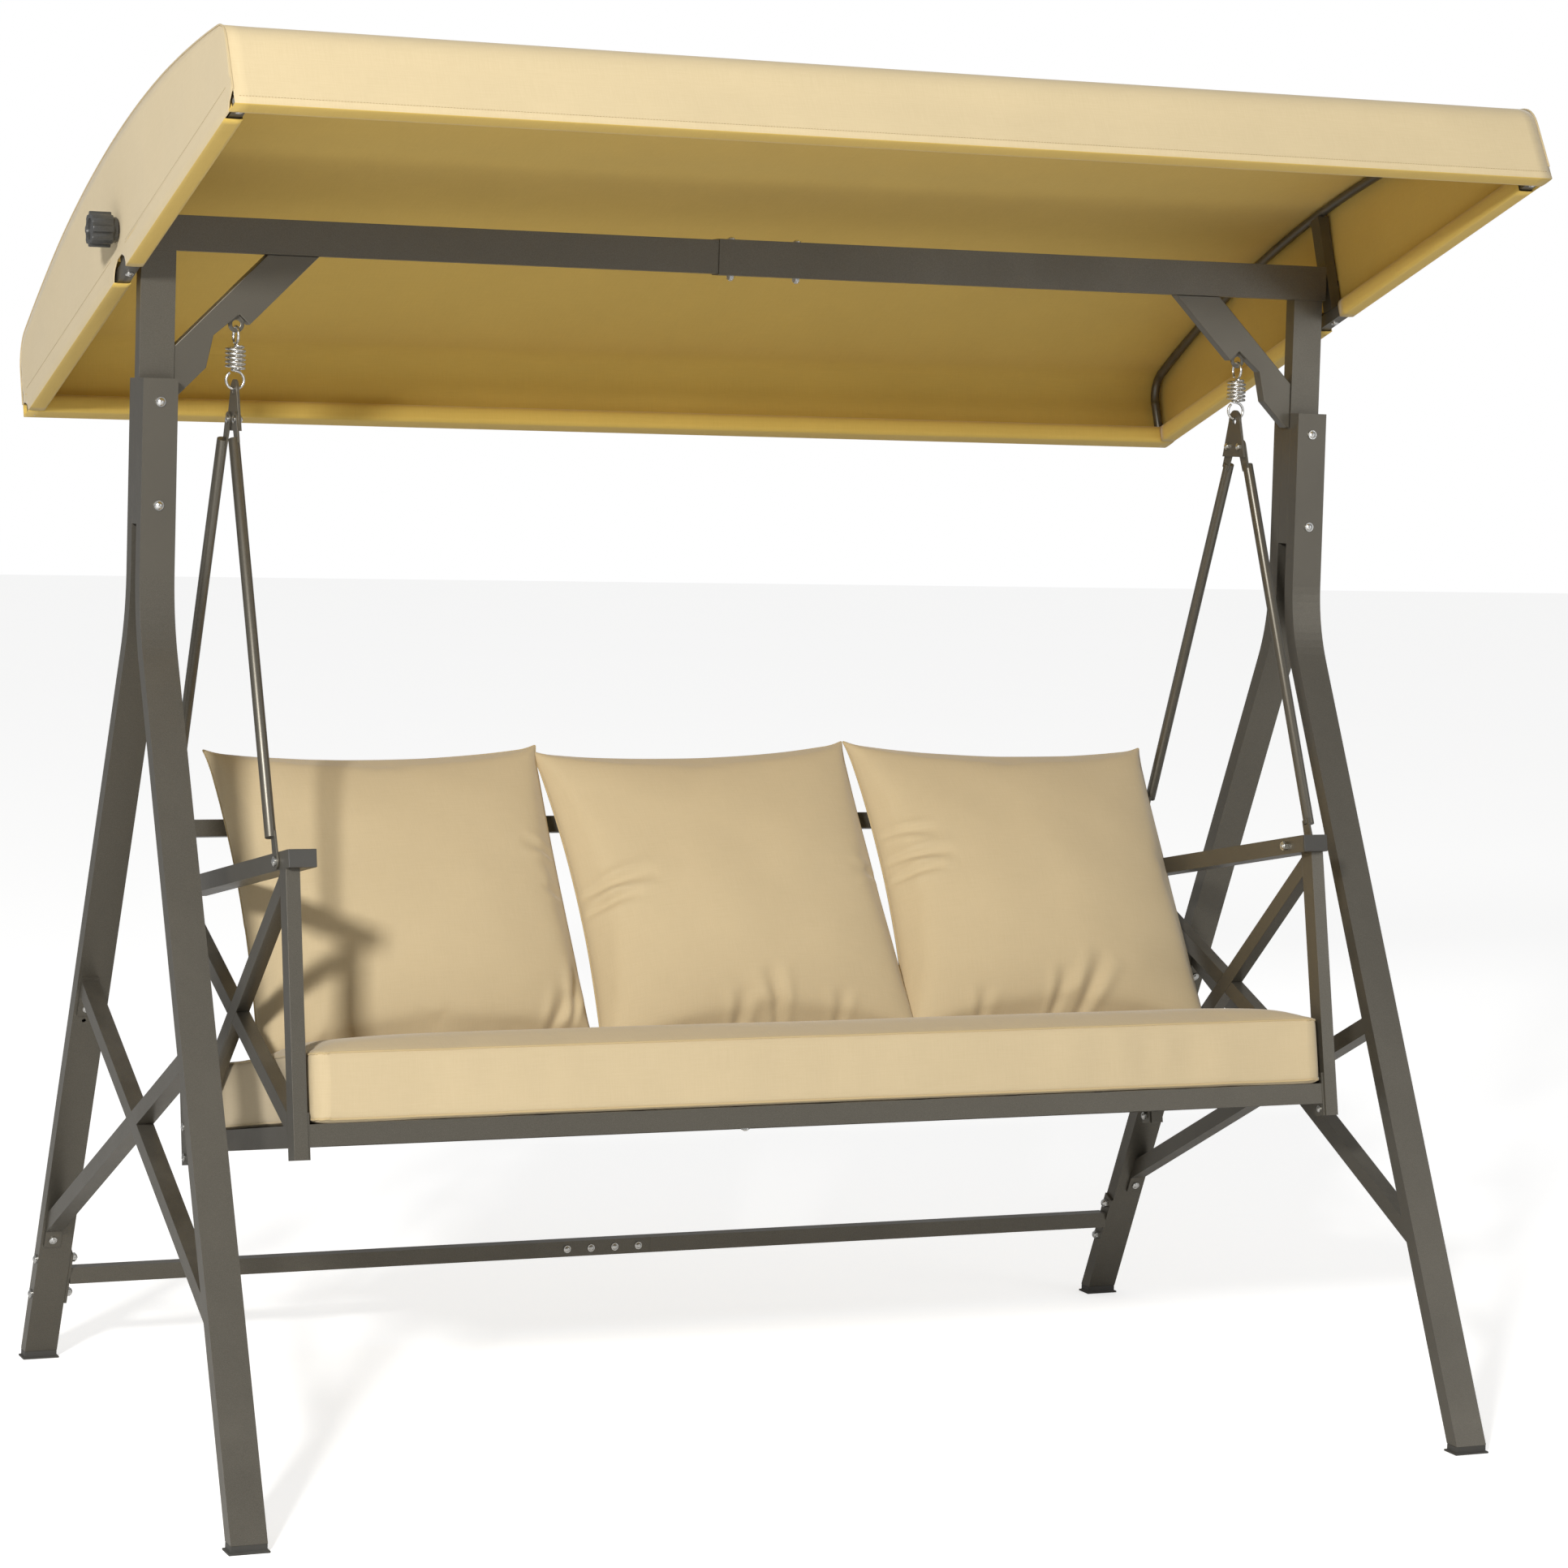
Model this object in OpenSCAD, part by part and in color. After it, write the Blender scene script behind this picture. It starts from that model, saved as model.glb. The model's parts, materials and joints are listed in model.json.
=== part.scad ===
// Canopy swing bench: steel A-frame stand, sprung three-seat bench, tilting fabric canopy.
// Millimetres, +Z up, front towards -Y, origin on the ground under the middle of the beam.

/* [Overall size] */
// Width of the stand over the outer faces of the legs
stand_w = 1900; // [1800:5:2300]
// Depth of the stand on the ground, front foot to rear foot
stand_d = 1206; // [1080:2:1448]
// Height of the top of the beam
beam_top = 1750; // [1600:5:2100]

/* [Stand tubes] */
// Face width of the leg, post and beam tubes
leg_face = 50; // [40:1:60]
// Thickness of the leg, post and beam tubes
leg_t = 25; // [20:1:32]
// Wall thickness of the square and rectangular tubes
wall = 1.5; // [1:0.1:2]
// Radius of the bend at the top of the leg slope
bend_r = 280; // [150:10:320]
// Angle of the lower leg from vertical, in degrees
leg_lean = 25.7; // [23:0.1:28]
// Side of the square brace and stretcher tubes
brace_t = 25; // [20:1:28]
// Height of the moulded foot under the leg tube
foot_h = 12; // [8:1:20]

/* [Suspension] */
// Radius of the spring coil to the middle of the wire
coil_r = 13; // [11:0.5:14.5]
// Diameter of the spring wire
wire_d = 4; // [3:0.1:4.8]
// Number of turns in each spring
turns = 6; // [3:1:8]
// Diameter of the hanger rods
rod_d = 16; // [12:1:18]

/* [Seat] */
// Gap from the inner face of each leg to the side of the seat
seat_gap = 90; // [86:1:98]
// Depth of the side frame, front post to rear post
seat_d = 586; // [488:2:704]
// Height of the arm top above the bottom of the posts
arm_h = 420; // [360:2:470]
// Backward tilt of the hanging seat, in degrees
seat_tilt = 10.5; // [6:0.5:12]
// Thickness of the long seat cushion
cushion_t = 100; // [70:2:120]
// Width of a scatter cushion
pillow_w = 505; // [430:1:510]
// Height of a scatter cushion
pillow_h = 480; // [400:2:500]
// Thickness of a scatter cushion at its middle
pillow_t = 140; // [100:2:150]

/* [Canopy] */
// Depth of the canopy, front face to rear face
canopy_d = 1224; // [1040:2:1460]
// Height from the pivot to the top of the canopy
canopy_rise = 128; // [115:1:170]
// Backward tilt of the canopy at rest, in degrees
canopy_tilt = 19.5; // [15:0.5:25]
// Diameter of the curved ribs
rib_d = 14; // [12:0.5:16]
// Diameter of the lobed tilt knobs
knob_d = 50; // [40:1:56]

/* [Hidden] */
$fn = 48;
gap = 0.2;
xo = stand_w / 2;
xi = xo - leg_face;
xm = xo - leg_face / 2;
beam_z = beam_top - leg_face;
half_t = leg_t / 2;
leg_in = half_t + gap;
leg_out = leg_in + leg_t;
leg_mid = leg_in + half_t;
leg_top = beam_top - 230;
post_low = beam_top - 435;
bolt_hi = beam_top - 263;
bolt_lo = beam_top - 408;
bend_y = leg_mid + bend_r;
bend_z = foot_h + (bend_r - half_t) * sin(leg_lean)
    + (stand_d / 2 - bend_y + (bend_r - half_t) * cos(leg_lean)) / tan(leg_lean);
leg_dir = [sin(leg_lean), -cos(leg_lean)];
leg_nrm = [cos(leg_lean), sin(leg_lean)];
in_pt = [bend_y - (bend_r + half_t) * cos(leg_lean), bend_z - (bend_r + half_t) * sin(leg_lean)];
pivot_z = beam_z - 100;
wire_r = wire_d / 2;
swing_z = pivot_z - 5 + wire_r + 0.1;
coil_top = swing_z - 2 * coil_r;
coil_n = 2 * turns;
coil_step = 37 / coil_n;
coil_low = coil_top - 37;
hook_z = coil_low - 2 * coil_r;
hole_r = 5.8;
eye_t = 2.4;
strap_z = hook_z - 5 + wire_r + 0.1;
sx = xi - seat_gap;
hang_x = sx - 2;
seat_y = -384;
seat_z = 471;
post_w = 20;
post_d = 30;
rear_u = seat_d - post_d;
arm_t = 25;
arm_v = arm_h - arm_t;
back_v = 520;
rail_v = 484;
rear_low = 11.5;
front_bolt = [40, arm_v + arm_t / 2];
rear_bolt = [rear_u + post_d / 2, 497];
plate_x = sx + gap;
tilt_c = cos(seat_tilt);
tilt_s = sin(seat_tilt);
pivot_c = beam_top - leg_face / 2;
cp = canopy_d / 2;
arc_r = 2425;
side_x = xo + 19;
tube_t = 18;
tube_q = -64;
front_p = -cp + 19;
rear_p = cp - 24;

frame_c = [0.36, 0.34, 0.31];
zinc_c = [0.72, 0.73, 0.74];
cloth_c = [0.80, 0.72, 0.55];
dark_c = [0.16, 0.16, 0.16];

function cut2(p, d, q, e) = p + d * cross(q - p, e) / cross(d, e);
function seat_pt(a) = [seat_y + a[0] * tilt_c + a[1] * tilt_s, seat_z - a[0] * tilt_s + a[1] * tilt_c];

module side(s) {
    if (s > 0)
        children();
    else
        mirror([1, 0, 0]) children();
}

module yz(x0, x1) {
    translate([x0, 0, 0]) rotate([90, 0, 90]) linear_extrude(x1 - x0) children();
}

module xz(y0, y1) {
    translate([0, y1, 0]) rotate([90, 0, 0]) linear_extrude(y1 - y0) children();
}

module tube_x(x0, x1, y0, y1, z0, z1, w) {
    difference() {
        translate([x0, y0, z0]) cube([x1 - x0, y1 - y0, z1 - z0]);
        translate([x0 - 1, y0 + w, z0 + w]) cube([x1 - x0 + 2, y1 - y0 - 2 * w, z1 - z0 - 2 * w]);
    }
}

module tube_y(x0, x1, y0, y1, z0, z1, w) {
    difference() {
        translate([x0, y0, z0]) cube([x1 - x0, y1 - y0, z1 - z0]);
        translate([x0 + w, y0 - 1, z0 + w]) cube([x1 - x0 - 2 * w, y1 - y0 + 2, z1 - z0 - 2 * w]);
    }
}

module tube_z(x0, x1, y0, y1, z0, z1, w) {
    difference() {
        translate([x0, y0, z0]) cube([x1 - x0, y1 - y0, z1 - z0]);
        translate([x0 + w, y0 + w, z0 - 1]) cube([x1 - x0 - 2 * w, y1 - y0 - 2 * w, z1 - z0 + 2]);
    }
}

module rod_to(p, q, r) {
    v = q - p;
    translate(p) rotate([0, acos(v[2] / norm(v)), atan2(v[1], v[0])]) cylinder(r = r, h = norm(v));
}

module dome(r, h) {
    cylinder(r = r, h = h * 0.45);
    intersection() {
        translate([0, 0, h - (r * r + h * h) / (2 * h)]) sphere(r = (r * r + h * h) / (2 * h));
        translate([0, 0, h * 0.3]) cylinder(r = r, h = h);
    }
}

// A bolt along +Z: domed head below z = 0, nut from z = l
module bolt(r, l, hr, hh, nh) {
    translate([0, 0, -gap]) mirror([0, 0, 1]) dome(hr, hh);
    translate([0, 0, -gap - 0.1]) cylinder(r = r, h = l + gap + 0.2 + (nh > 0 ? gap : 0));
    if (nh > 0)
        translate([0, 0, l + gap]) cylinder(r = hr * 1.02, h = nh, $fn = 6);
    if (nh > 0)
        translate([0, 0, l + gap + nh - 0.1]) dome(hr * 0.75, hh * 0.8);
}

// Legs, in the plane of the rear leg; the front leg is its mirror
module leg_shape(ro, ri, top, low) {
    steps = 10;
    arc_o = [for (i = [0:steps]) [bend_y - ro * cos(leg_lean * i / steps),
        bend_z - ro * sin(leg_lean * i / steps)]];
    arc_i = [for (i = [0:steps]) [bend_y - ri * cos(leg_lean * i / steps),
        bend_z - ri * sin(leg_lean * i / steps)]];
    end_o = arc_o[steps] + leg_dir * (arc_o[steps][1] - low) / cos(leg_lean);
    end_i = arc_i[steps] + leg_dir * (arc_i[steps][1] - low) / cos(leg_lean);
    polygon(concat([[bend_y - ro, top]], arc_o, [end_o, end_i],
        [for (i = [0:steps]) arc_i[steps - i]], [[bend_y - ri, top]]));
}

module leg_tube() {
    difference() {
        yz(xi, xo) leg_shape(bend_r + half_t, bend_r - half_t, leg_top, foot_h);
        yz(xi + wall, xo - wall)
            leg_shape(bend_r + half_t - wall, bend_r - half_t + wall, leg_top + 2, foot_h - 2);
        for (z = [bolt_hi, bolt_lo])
            translate([xm, 0, z]) rotate([-90, 0, 0]) cylinder(r = 4.2, h = 60);
    }
}

module front_leg(s) {
    color(frame_c) side(s) mirror([0, 1, 0]) difference() {
        leg_tube();
        brace_holes();
    }
}

module rear_leg(s) {
    color(frame_c) side(s) difference() {
        leg_tube();
        brace_holes();
        for (k = [-1, 1])
            translate([0, plate_pt(k)[0], plate_pt(k)[1]]) rotate([0, 90, 0]) cylinder(r = 4.2, h = xo + 10);
    }
}

module foot_cap() {
    y0 = stand_d / 2 - leg_t / cos(leg_lean);
    y1 = stand_d / 2;
    translate([xi - 3, y0 - 3, 0]) cube([leg_face + 6, y1 - y0 + 6, 3]);
    translate([xi, y0 + 0.5, 2.9]) cube([leg_face, y1 - y0 - 1, foot_h - 3.1]);
}

module foot_caps() {
    color(dark_c) for (s = [-1, 1]) for (f = [0, 1]) side(s) mirror([0, f, 0]) foot_cap();
}

// Crossed braces between the front and rear legs of one end
brace_x0 = xo - 5 - brace_t;
brace_hi = [620, 278];
brace_lo = [238, 598];
tab_t = 4;

function face_at(z) = cut2(in_pt, leg_dir, [0, z], [1, 0]);
function tab_at(z) = face_at(z) - leg_nrm * (tab_t + gap - 0.4);
// End levels: rear end and front end of each brace
function rear_end(b) = tab_at(b[0]);
function front_end(b) = [-tab_at(b[1])[0], tab_at(b[1])[1]];

module brace_bar(b, h) {
    p = rear_end(b);
    q = front_end(b);
    d = (q - p) / norm(q - p);
    n = [-d[1], d[0]];
    fd = [-leg_dir[0], leg_dir[1]];
    polygon([cut2(p + n * h, d, p, leg_dir), cut2(p - n * h, d, p, leg_dir),
        cut2(q - n * h, d, q, fd), cut2(q + n * h, d, q, fd)]);
}

module brace_bar_long(b, h) {
    p = rear_end(b);
    q = front_end(b);
    d = (q - p) / norm(q - p);
    n = [-d[1], d[0]];
    polygon([p + n * h - d * 60, p - n * h - d * 60, q - n * h + d * 60, q + n * h + d * 60]);
}

module brace_half_strip(b, h) {
    p = rear_end(b);
    q = front_end(b);
    d = (q - p) / norm(q - p);
    n = [-d[1], d[0]];
    polygon([p + n * h - d * 200, p - n * h - d * 200, q - n * h + d * 200, q + n * h + d * 200]);
}

module brace_tube(b) {
    difference() {
        yz(brace_x0, brace_x0 + brace_t) brace_bar(b, brace_t / 2);
        yz(brace_x0 + wall, brace_x0 + brace_t - wall) brace_bar_long(b, brace_t / 2 - wall);
    }
}

// A flat tab on the leg's inner face, reaching past the brace's end by k * 34
module tab(z, k) {
    p = face_at(z) - leg_nrm * gap;
    e0 = p + leg_dir * -18 * k;
    e1 = p + leg_dir * 48 * k;
    m = -leg_nrm * tab_t;
    difference() {
        yz(brace_x0, brace_x0 + brace_t) polygon([e0, e1, e1 + m, e0 + m]);
        translate([brace_x0 + brace_t / 2, p[0], p[1]]) rotate([leg_lean, 0, 0])
            translate([0, 0, -35 * k]) rotate([90, 0, 0]) cylinder(r = 3.2, h = 30, center = true);
    }
}

module brace_holes() {
    for (z = [brace_hi[0], brace_hi[1], brace_lo[0], brace_lo[1]]) {
        p = face_at(z);
        translate([brace_x0 + brace_t / 2, p[0], p[1]]) rotate([leg_lean, 0, 0])
            translate([0, 0, -35]) rotate([90, 0, 0]) cylinder(r = 3.2, h = 24, center = true);
    }
}

module side_brace(s) {
    color(frame_c) side(s) {
        union() {
            brace_tube(brace_hi);
            tab(brace_hi[0], 1);
            mirror([0, 1, 0]) tab(brace_hi[1], 1);
        }
        difference() {
            union() {
                brace_tube(brace_lo);
                tab(brace_lo[0], 1);
                mirror([0, 1, 0]) tab(brace_lo[1], 1);
            }
            yz(brace_x0 - 1, brace_x0 + brace_t + 1) brace_half_strip(brace_hi, brace_t / 2 + 0.1);
        }
    }
}

module tab_bolt(z) {
    p = face_at(z);
    translate([brace_x0 + brace_t / 2, p[0], p[1]]) rotate([leg_lean, 0, 0])
        translate([0, -tab_t - gap, -35]) rotate([-90, 0, 0]) bolt(3, 14, 6, 4, 0);
}

module brace_bolts() {
    color(zinc_c) for (s = [-1, 1]) side(s)
        for (z = [brace_hi[0], brace_lo[0]])
            tab_bolt(z);
    color(zinc_c) for (s = [-1, 1]) side(s) mirror([0, 1, 0])
        for (z = [brace_hi[1], brace_lo[1]])
            tab_bolt(z);
}

// Posts, beam and gussets
module post(s) {
    color(frame_c) side(s) difference() {
        tube_z(xi, xo, -half_t, half_t, post_low, beam_z - (s > 0 ? 1.7 : 0.1), wall);
        for (z = [bolt_hi, bolt_lo])
            translate([xm, 0, z]) rotate([90, 0, 0]) cylinder(r = 4.2, h = 60, center = true);
    }
}

module beam_left() {
    color(frame_c) difference() {
        union() {
            tube_x(-xo - 1, 90, -half_t, half_t, beam_z, beam_top, wall);
            translate([-xo - 5, -half_t, beam_z]) beam_plug_at(leg_face, leg_t);
        }
        for (x = [-54, 52])
            translate([x, 0, beam_z - 5]) cylinder(r = 3.2, h = leg_face + 10);
    }
}

module beam_plug_at(h, d) {
    difference() {
        cube([4.1, d, h]);
        translate([-1, d / 2, h / 2]) rotate([0, 90, 0]) cylinder(r = 4.05, h = 8);
    }
}

module beam_right() {
    color(frame_c) difference() {
        union() {
            tube_x(-78, xo + 1, -half_t - 1.6, half_t + 1.6, beam_z - 1.6, beam_top + 1.6, 1.5);
            translate([xo + 0.9, -half_t - 1.6, beam_z - 1.6]) beam_plug_at(leg_face + 3.2, leg_t + 3.2);
        }
        for (x = [-54, 52])
            translate([x, 0, beam_z - 5]) cylinder(r = 3.2, h = leg_face + 10);
    }
}

module beam_bolts() {
    color(zinc_c) for (x = [-54, 52])
        translate([x, 0, beam_top + 1.6]) mirror([0, 0, 1]) bolt(3, leg_face + 3.2, 6, 4, 5);
}

module gusset(s) {
    zt = beam_z - (s > 0 ? 1.8 : 0.2);
    x1 = xi - gap;
    color(frame_c) side(s) {
        difference() {
            union() {
                xz(-10, 10) polygon([[x1, beam_z - 134], [xi - 134 + beam_z - zt, zt],
                    [xi - 210 + beam_z - zt, zt], [xi - 109, beam_z - 101], [xi - 94, beam_z - 86],
                    [xi - 57, beam_z - 117], [xi - 47, beam_z - 163], [xi - 7, beam_z - 203],
                    [x1, beam_z - 203]]);
                xz(-eye_t / 2, eye_t / 2) translate([hang_x, pivot_z]) circle(r = 12);
                xz(-eye_t / 2, eye_t / 2) translate([hang_x - 12, pivot_z]) square([24, 24]);
            }
            translate([hang_x, 0, pivot_z]) rotate([90, 0, 0]) cylinder(r = hole_r, h = 30, center = true);
        }
    }
}

module leg_bolts() {
    color(zinc_c) for (s = [-1, 1]) for (z = [bolt_hi, bolt_lo])
        side(s) translate([xm, -leg_out, z]) rotate([-90, 0, 0]) bolt(4, 2 * leg_out, 7, 5, 6);
}

// Rear stretcher in two halves, with sloping end plates on the rear legs
str_z = 140;
str_y = cut2(in_pt, leg_dir, [0, str_z], [1, 0])[0] + half_t;
str_h = brace_t / 2;
function plate_pt(k) = [str_y, str_z] + leg_dir * 33 * k;

module end_plate() {
    a = [str_y, str_z] - leg_dir * 46;
    b = [str_y, str_z] + leg_dir * 46;
    n = leg_nrm * 12;
    difference() {
        yz(xi - 4 - gap, xi - gap) polygon([a + n, b + n, b - n, a - n]);
        for (k = [-1, 1])
            translate([xi - 20, plate_pt(k)[0], plate_pt(k)[1]]) rotate([0, 90, 0]) cylinder(r = 4.2, h = 40);
    }
}

module stretcher_holes() {
    for (x = [-82, -41, 0, 41])
        translate([x, str_y, str_z]) rotate([90, 0, 0]) cylinder(r = 3.2, h = 60, center = true);
}

module stretcher_left() {
    color(frame_c) {
        difference() {
            tube_x(-xi + 4, 62, str_y - str_h, str_y + str_h, str_z - str_h, str_z + str_h, wall);
            stretcher_holes();
        }
        side(-1) end_plate();
    }
}

module stretcher_right() {
    h = str_h - wall - 0.15;
    color(frame_c) {
        difference() {
            union() {
                tube_x(62.2, xi - 4, str_y - str_h, str_y + str_h, str_z - str_h, str_z + str_h, wall + 1.7);
                tube_x(-104, 64, str_y - h, str_y + h, str_z - h, str_z + h, 1.5);
            }
            stretcher_holes();
        }
        end_plate();
    }
}

module stretcher_bolts() {
    color(zinc_c) {
        for (x = [-82, -41, 0, 41])
            translate([x, str_y - str_h, str_z]) rotate([-90, 0, 0]) bolt(3, brace_t, 6, 4, 5);
        for (s = [-1, 1]) for (k = [-1, 1])
            side(s) translate([xo, plate_pt(k)[0], plate_pt(k)[1]]) rotate([0, -90, 0])
                bolt(4, leg_face + 4 + gap, 7, 5, 6);
    }
}

// Springs: a coil of tilted half turns with a full loop at each end
module half_turn(i) {
    z = coil_top - coil_step * (i + 0.5);
    a = asin(coil_step / 2 / coil_r);
    translate([0, 0, z]) rotate([0, 0, 180 * i]) rotate([0, a, 0])
        rotate_extrude(angle = 180, $fn = 40) translate([coil_r, 0]) circle(r = wire_r, $fn = 20);
}

module loop(zc, up) {
    translate([0, 0, zc]) rotate([90, 0, 0])
        rotate([0, 0, up > 0 ? -85 : 95]) rotate_extrude(angle = 350, $fn = 40)
            translate([coil_r, 0]) circle(r = wire_r, $fn = 20);
}

module spring(s) {
    color(zinc_c) side(s) translate([hang_x, 0, 0]) {
        for (i = [0:coil_n - 1])
            half_turn(i);
        rotate([0, 0, 90]) loop(swing_z - coil_r, 1);
        loop(hook_z + coil_r, -1);
        for (i = [0:coil_n])
            translate([(i % 2 == 0 ? -1 : 1) * coil_r, 0, coil_top - coil_step * i]) sphere(r = wire_r + 0.1, $fn = 24);
        for (z = [coil_top, coil_low]) {
            rod_to([-coil_r, 0, z], [2, 0, z], wire_r);
            translate([2, 0, z]) sphere(r = wire_r + 0.1, $fn = 24);
        }
    }
}

// Hangers: a strap at the top and two rods with flattened ends
strap_bolt = strap_z - 40;

module strap(s) {
    color(frame_c) side(s) difference() {
        yz(hang_x - 2, hang_x + 2) polygon(concat(
            [for (i = [0:16]) [17 * cos(i * 180 / 16), strap_z + 17 * sin(i * 180 / 16)]],
            [[-34, strap_bolt - 16], [34, strap_bolt - 16]]));
        translate([hang_x - 10, 0, strap_z]) rotate([0, 90, 0]) cylinder(r = hole_r, h = 20);
        for (k = [-1, 1])
            translate([hang_x - 10, 18 * k, strap_bolt]) rotate([0, 90, 0]) cylinder(r = 3.2, h = 20);
    }
}

module blade(p, q, l, w) {
    d = (q - p) / norm(q - p);
    n = [-d[1], d[0]];
    translate([0, p[0], p[1]]) rotate([0, 90, 0]) cylinder(r = w, h = 3);
    rotate([90, 0, 90]) linear_extrude(3)
        polygon([p + n * w, p - n * w, p + d * l - n * w * 0.8, p + d * l + n * w * 0.8]);
}

module rod(s, a, b) {
    d = (b - a) / norm(b - a);
    p = a + d * 30;
    q = b - d * 34;
    bx = hang_x + 2 + gap;
    bl = plate_x;
    color(frame_c) side(s) difference() {
        union() {
            rod_to([bx + 6, p[0], p[1]], [bl + 6, q[0], q[1]], rod_d / 2);
            translate([bx, 0, 0]) blade(a, b, 38, 11);
            translate([bl, 0, 0]) blade(b, a, 42, 11);
        }
        rod_to([bx + 6, (a + d * 44)[0], (a + d * 44)[1]], [bl + 6, (b - d * 48)[0], (b - d * 48)[1]],
            rod_d / 2 - 1.5);
        translate([bx - 10, a[0], a[1]]) rotate([0, 90, 0]) cylinder(r = 3.2, h = 30);
        translate([bl - 10, b[0], b[1]]) rotate([0, 90, 0]) cylinder(r = 4.2, h = 30);
    }
}

module hanger_front(s) {
    rod(s, [-18, strap_bolt], seat_pt(front_bolt));
}

module hanger_rear(s) {
    rod(s, [18, strap_bolt], seat_pt(rear_bolt));
}

module hanger_rivets() {
    color(zinc_c) for (s = [-1, 1]) for (k = [-1, 1])
        side(s) translate([hang_x + 5 + gap, 18 * k, strap_bolt]) rotate([0, -90, 0]) bolt(3, 7 + gap, 5.5, 3, 3);
}

module hanger_bolts() {
    a = seat_pt(front_bolt);
    b = seat_pt(rear_bolt);
    color(zinc_c) for (s = [-1, 1]) side(s) {
        translate([plate_x + 3, a[0], a[1]]) rotate([0, -90, 0]) bolt(4, 43 + gap, 7, 5, 6);
        translate([plate_x + 3, b[0], b[1]]) rotate([0, -90, 0]) bolt(4, 3 + gap + wall + 6, 7, 5, 0);
    }
}

// Seat frame, drawn level and tilted as one
module seat() {
    translate([0, seat_y, seat_z]) rotate([-seat_tilt, 0, 0]) children();
}

module seat_front_post(s) {
    color(frame_c) side(s) seat() difference() {
        tube_z(sx - post_w, sx, 0, post_d, 0, arm_v - 0.1, wall);
        for (v = [10, 56])
            translate([sx - post_w - 5, 15, v]) rotate([0, 90, 0]) cylinder(r = 3.2, h = 15);
    }
}

module seat_rear_post(s) {
    color(frame_c) side(s) seat() difference() {
        union() {
            tube_z(sx - post_w, sx, rear_u, seat_d, 0, back_v - 2, wall);
            translate([sx - post_w, rear_u, back_v - 2.1]) cube([post_w, post_d, 2.1]);
        }
        for (v = [rear_low, 56])
            translate([sx - post_w - 5, rear_u + 15, v]) rotate([0, 90, 0]) cylinder(r = 3.2, h = 40);
        translate([sx - 8, rear_bolt[0], rear_bolt[1]]) rotate([0, 90, 0]) cylinder(r = 4.2, h = 15);
    }
}

module seat_bar(v0, v1, h, ext) {
    p = [post_d + gap, v0];
    q = [rear_u - gap, v1];
    d = (q - p) / norm(q - p);
    n = [-d[1], d[0]];
    a = p - d * ext;
    b = q + d * ext;
    if (ext > 0)
        polygon([a + n * h, a - n * h, b - n * h, b + n * h]);
    else
        polygon([cut2(p + n * h, d, p, [0, 1]), cut2(p - n * h, d, p, [0, 1]),
            cut2(q - n * h, d, q, [0, 1]), cut2(q + n * h, d, q, [0, 1])]);
}

module seat_bar_tube(v0, v1) {
    difference() {
        yz(sx - post_w, sx) seat_bar(v0, v1, 12.5, 0);
        yz(sx - post_w + wall, sx - wall) seat_bar(v0, v1, 12.5 - wall, 30);
    }
}

module seat_side_brace(s) {
    hi = arm_v - 20;
    lo = 50;
    color(frame_c) side(s) seat() {
        seat_bar_tube(hi, lo);
        difference() {
            seat_bar_tube(lo, hi);
            yz(sx - post_w - 1, sx + 1) seat_bar(hi, lo, 12.6, 60);
        }
    }
}

module arm(s) {
    color(frame_c) side(s) seat() difference() {
        tube_y(sx - 40, sx, -12, rear_u - gap, arm_v, arm_h, wall);
        translate([sx - 50, front_bolt[0], front_bolt[1]]) rotate([0, 90, 0]) cylinder(r = 4.2, h = 60);
    }
}

module arm_caps() {
    color(dark_c) for (s = [-1, 1]) side(s) seat() {
        translate([sx - 40, -15, arm_v]) cube([40, 3 - gap, arm_t]);
        translate([sx - 40 + wall + gap, -12.5, arm_v + wall + gap])
            cube([40 - 2 * wall - 2 * gap, 12, arm_t - 2 * wall - 2 * gap]);
    }
}

base_lo = 18;
base_hi = 48;
base_x = sx - post_w - 3 - gap;

module base_plate(u, va, vb) {
    difference() {
        translate([base_x - 0.1, u + 3, 0]) cube([3.1, 24, 64]);
        for (v = [va, vb])
            translate([base_x - 5, u + 15, v]) rotate([0, 90, 0]) cylinder(r = 3.2, h = 20);
    }
}

module seat_base_frame() {
    color(frame_c) seat() {
        difference() {
            tube_x(-base_x, base_x, 4, 29, base_lo, base_hi, wall);
            translate([-145, 16, 0]) cylinder(r = 3.2, h = 30);
        }
        tube_x(-base_x, base_x, rear_u + 2, rear_u + 27, base_lo, base_hi, wall);
        for (s = [-1, 1]) side(s) {
            tube_y(base_x - 25, base_x, 28.9, rear_u + 2.1, base_lo, base_hi, wall);
            base_plate(0, 10, 56);
            base_plate(rear_u, rear_low, 56);
        }
        for (x = [-580:145:580])
            translate([x - 10, 28.9, base_hi - 15]) cube([20, rear_u - 26.8, 15]);
    }
}

module back_rail() {
    color(frame_c) seat()
        tube_x(-sx + post_w + gap, sx - post_w - gap, rear_u + 2, rear_u + 27, rail_v, rail_v + 25, wall);
}

module back_slats() {
    color(frame_c) seat() for (x = [-615, -445, -70, 70, 445, 615])
        tube_z(x - 10, x + 10, rear_u + 7, rear_u + 22, base_hi + gap, rail_v - gap, wall);
}

module seat_bolts() {
    color(zinc_c) seat() {
        for (s = [-1, 1]) side(s) {
            for (v = [10, 56])
                translate([base_x - 0.1, 15, v]) rotate([0, 90, 0]) bolt(3, 9, 5, 3, 0);
            for (v = [rear_low, 56])
                translate([sx, rear_u + 15, v]) rotate([0, -90, 0]) bolt(3, post_w + 3.3, 6, 4, 4);
        }
        translate([-145, 16, base_lo]) bolt(3, 10, 6, 4, 0);
    }
}

// Soft furnishings
cush_u0 = 2;
cush_u1 = rear_u - 12;

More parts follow.
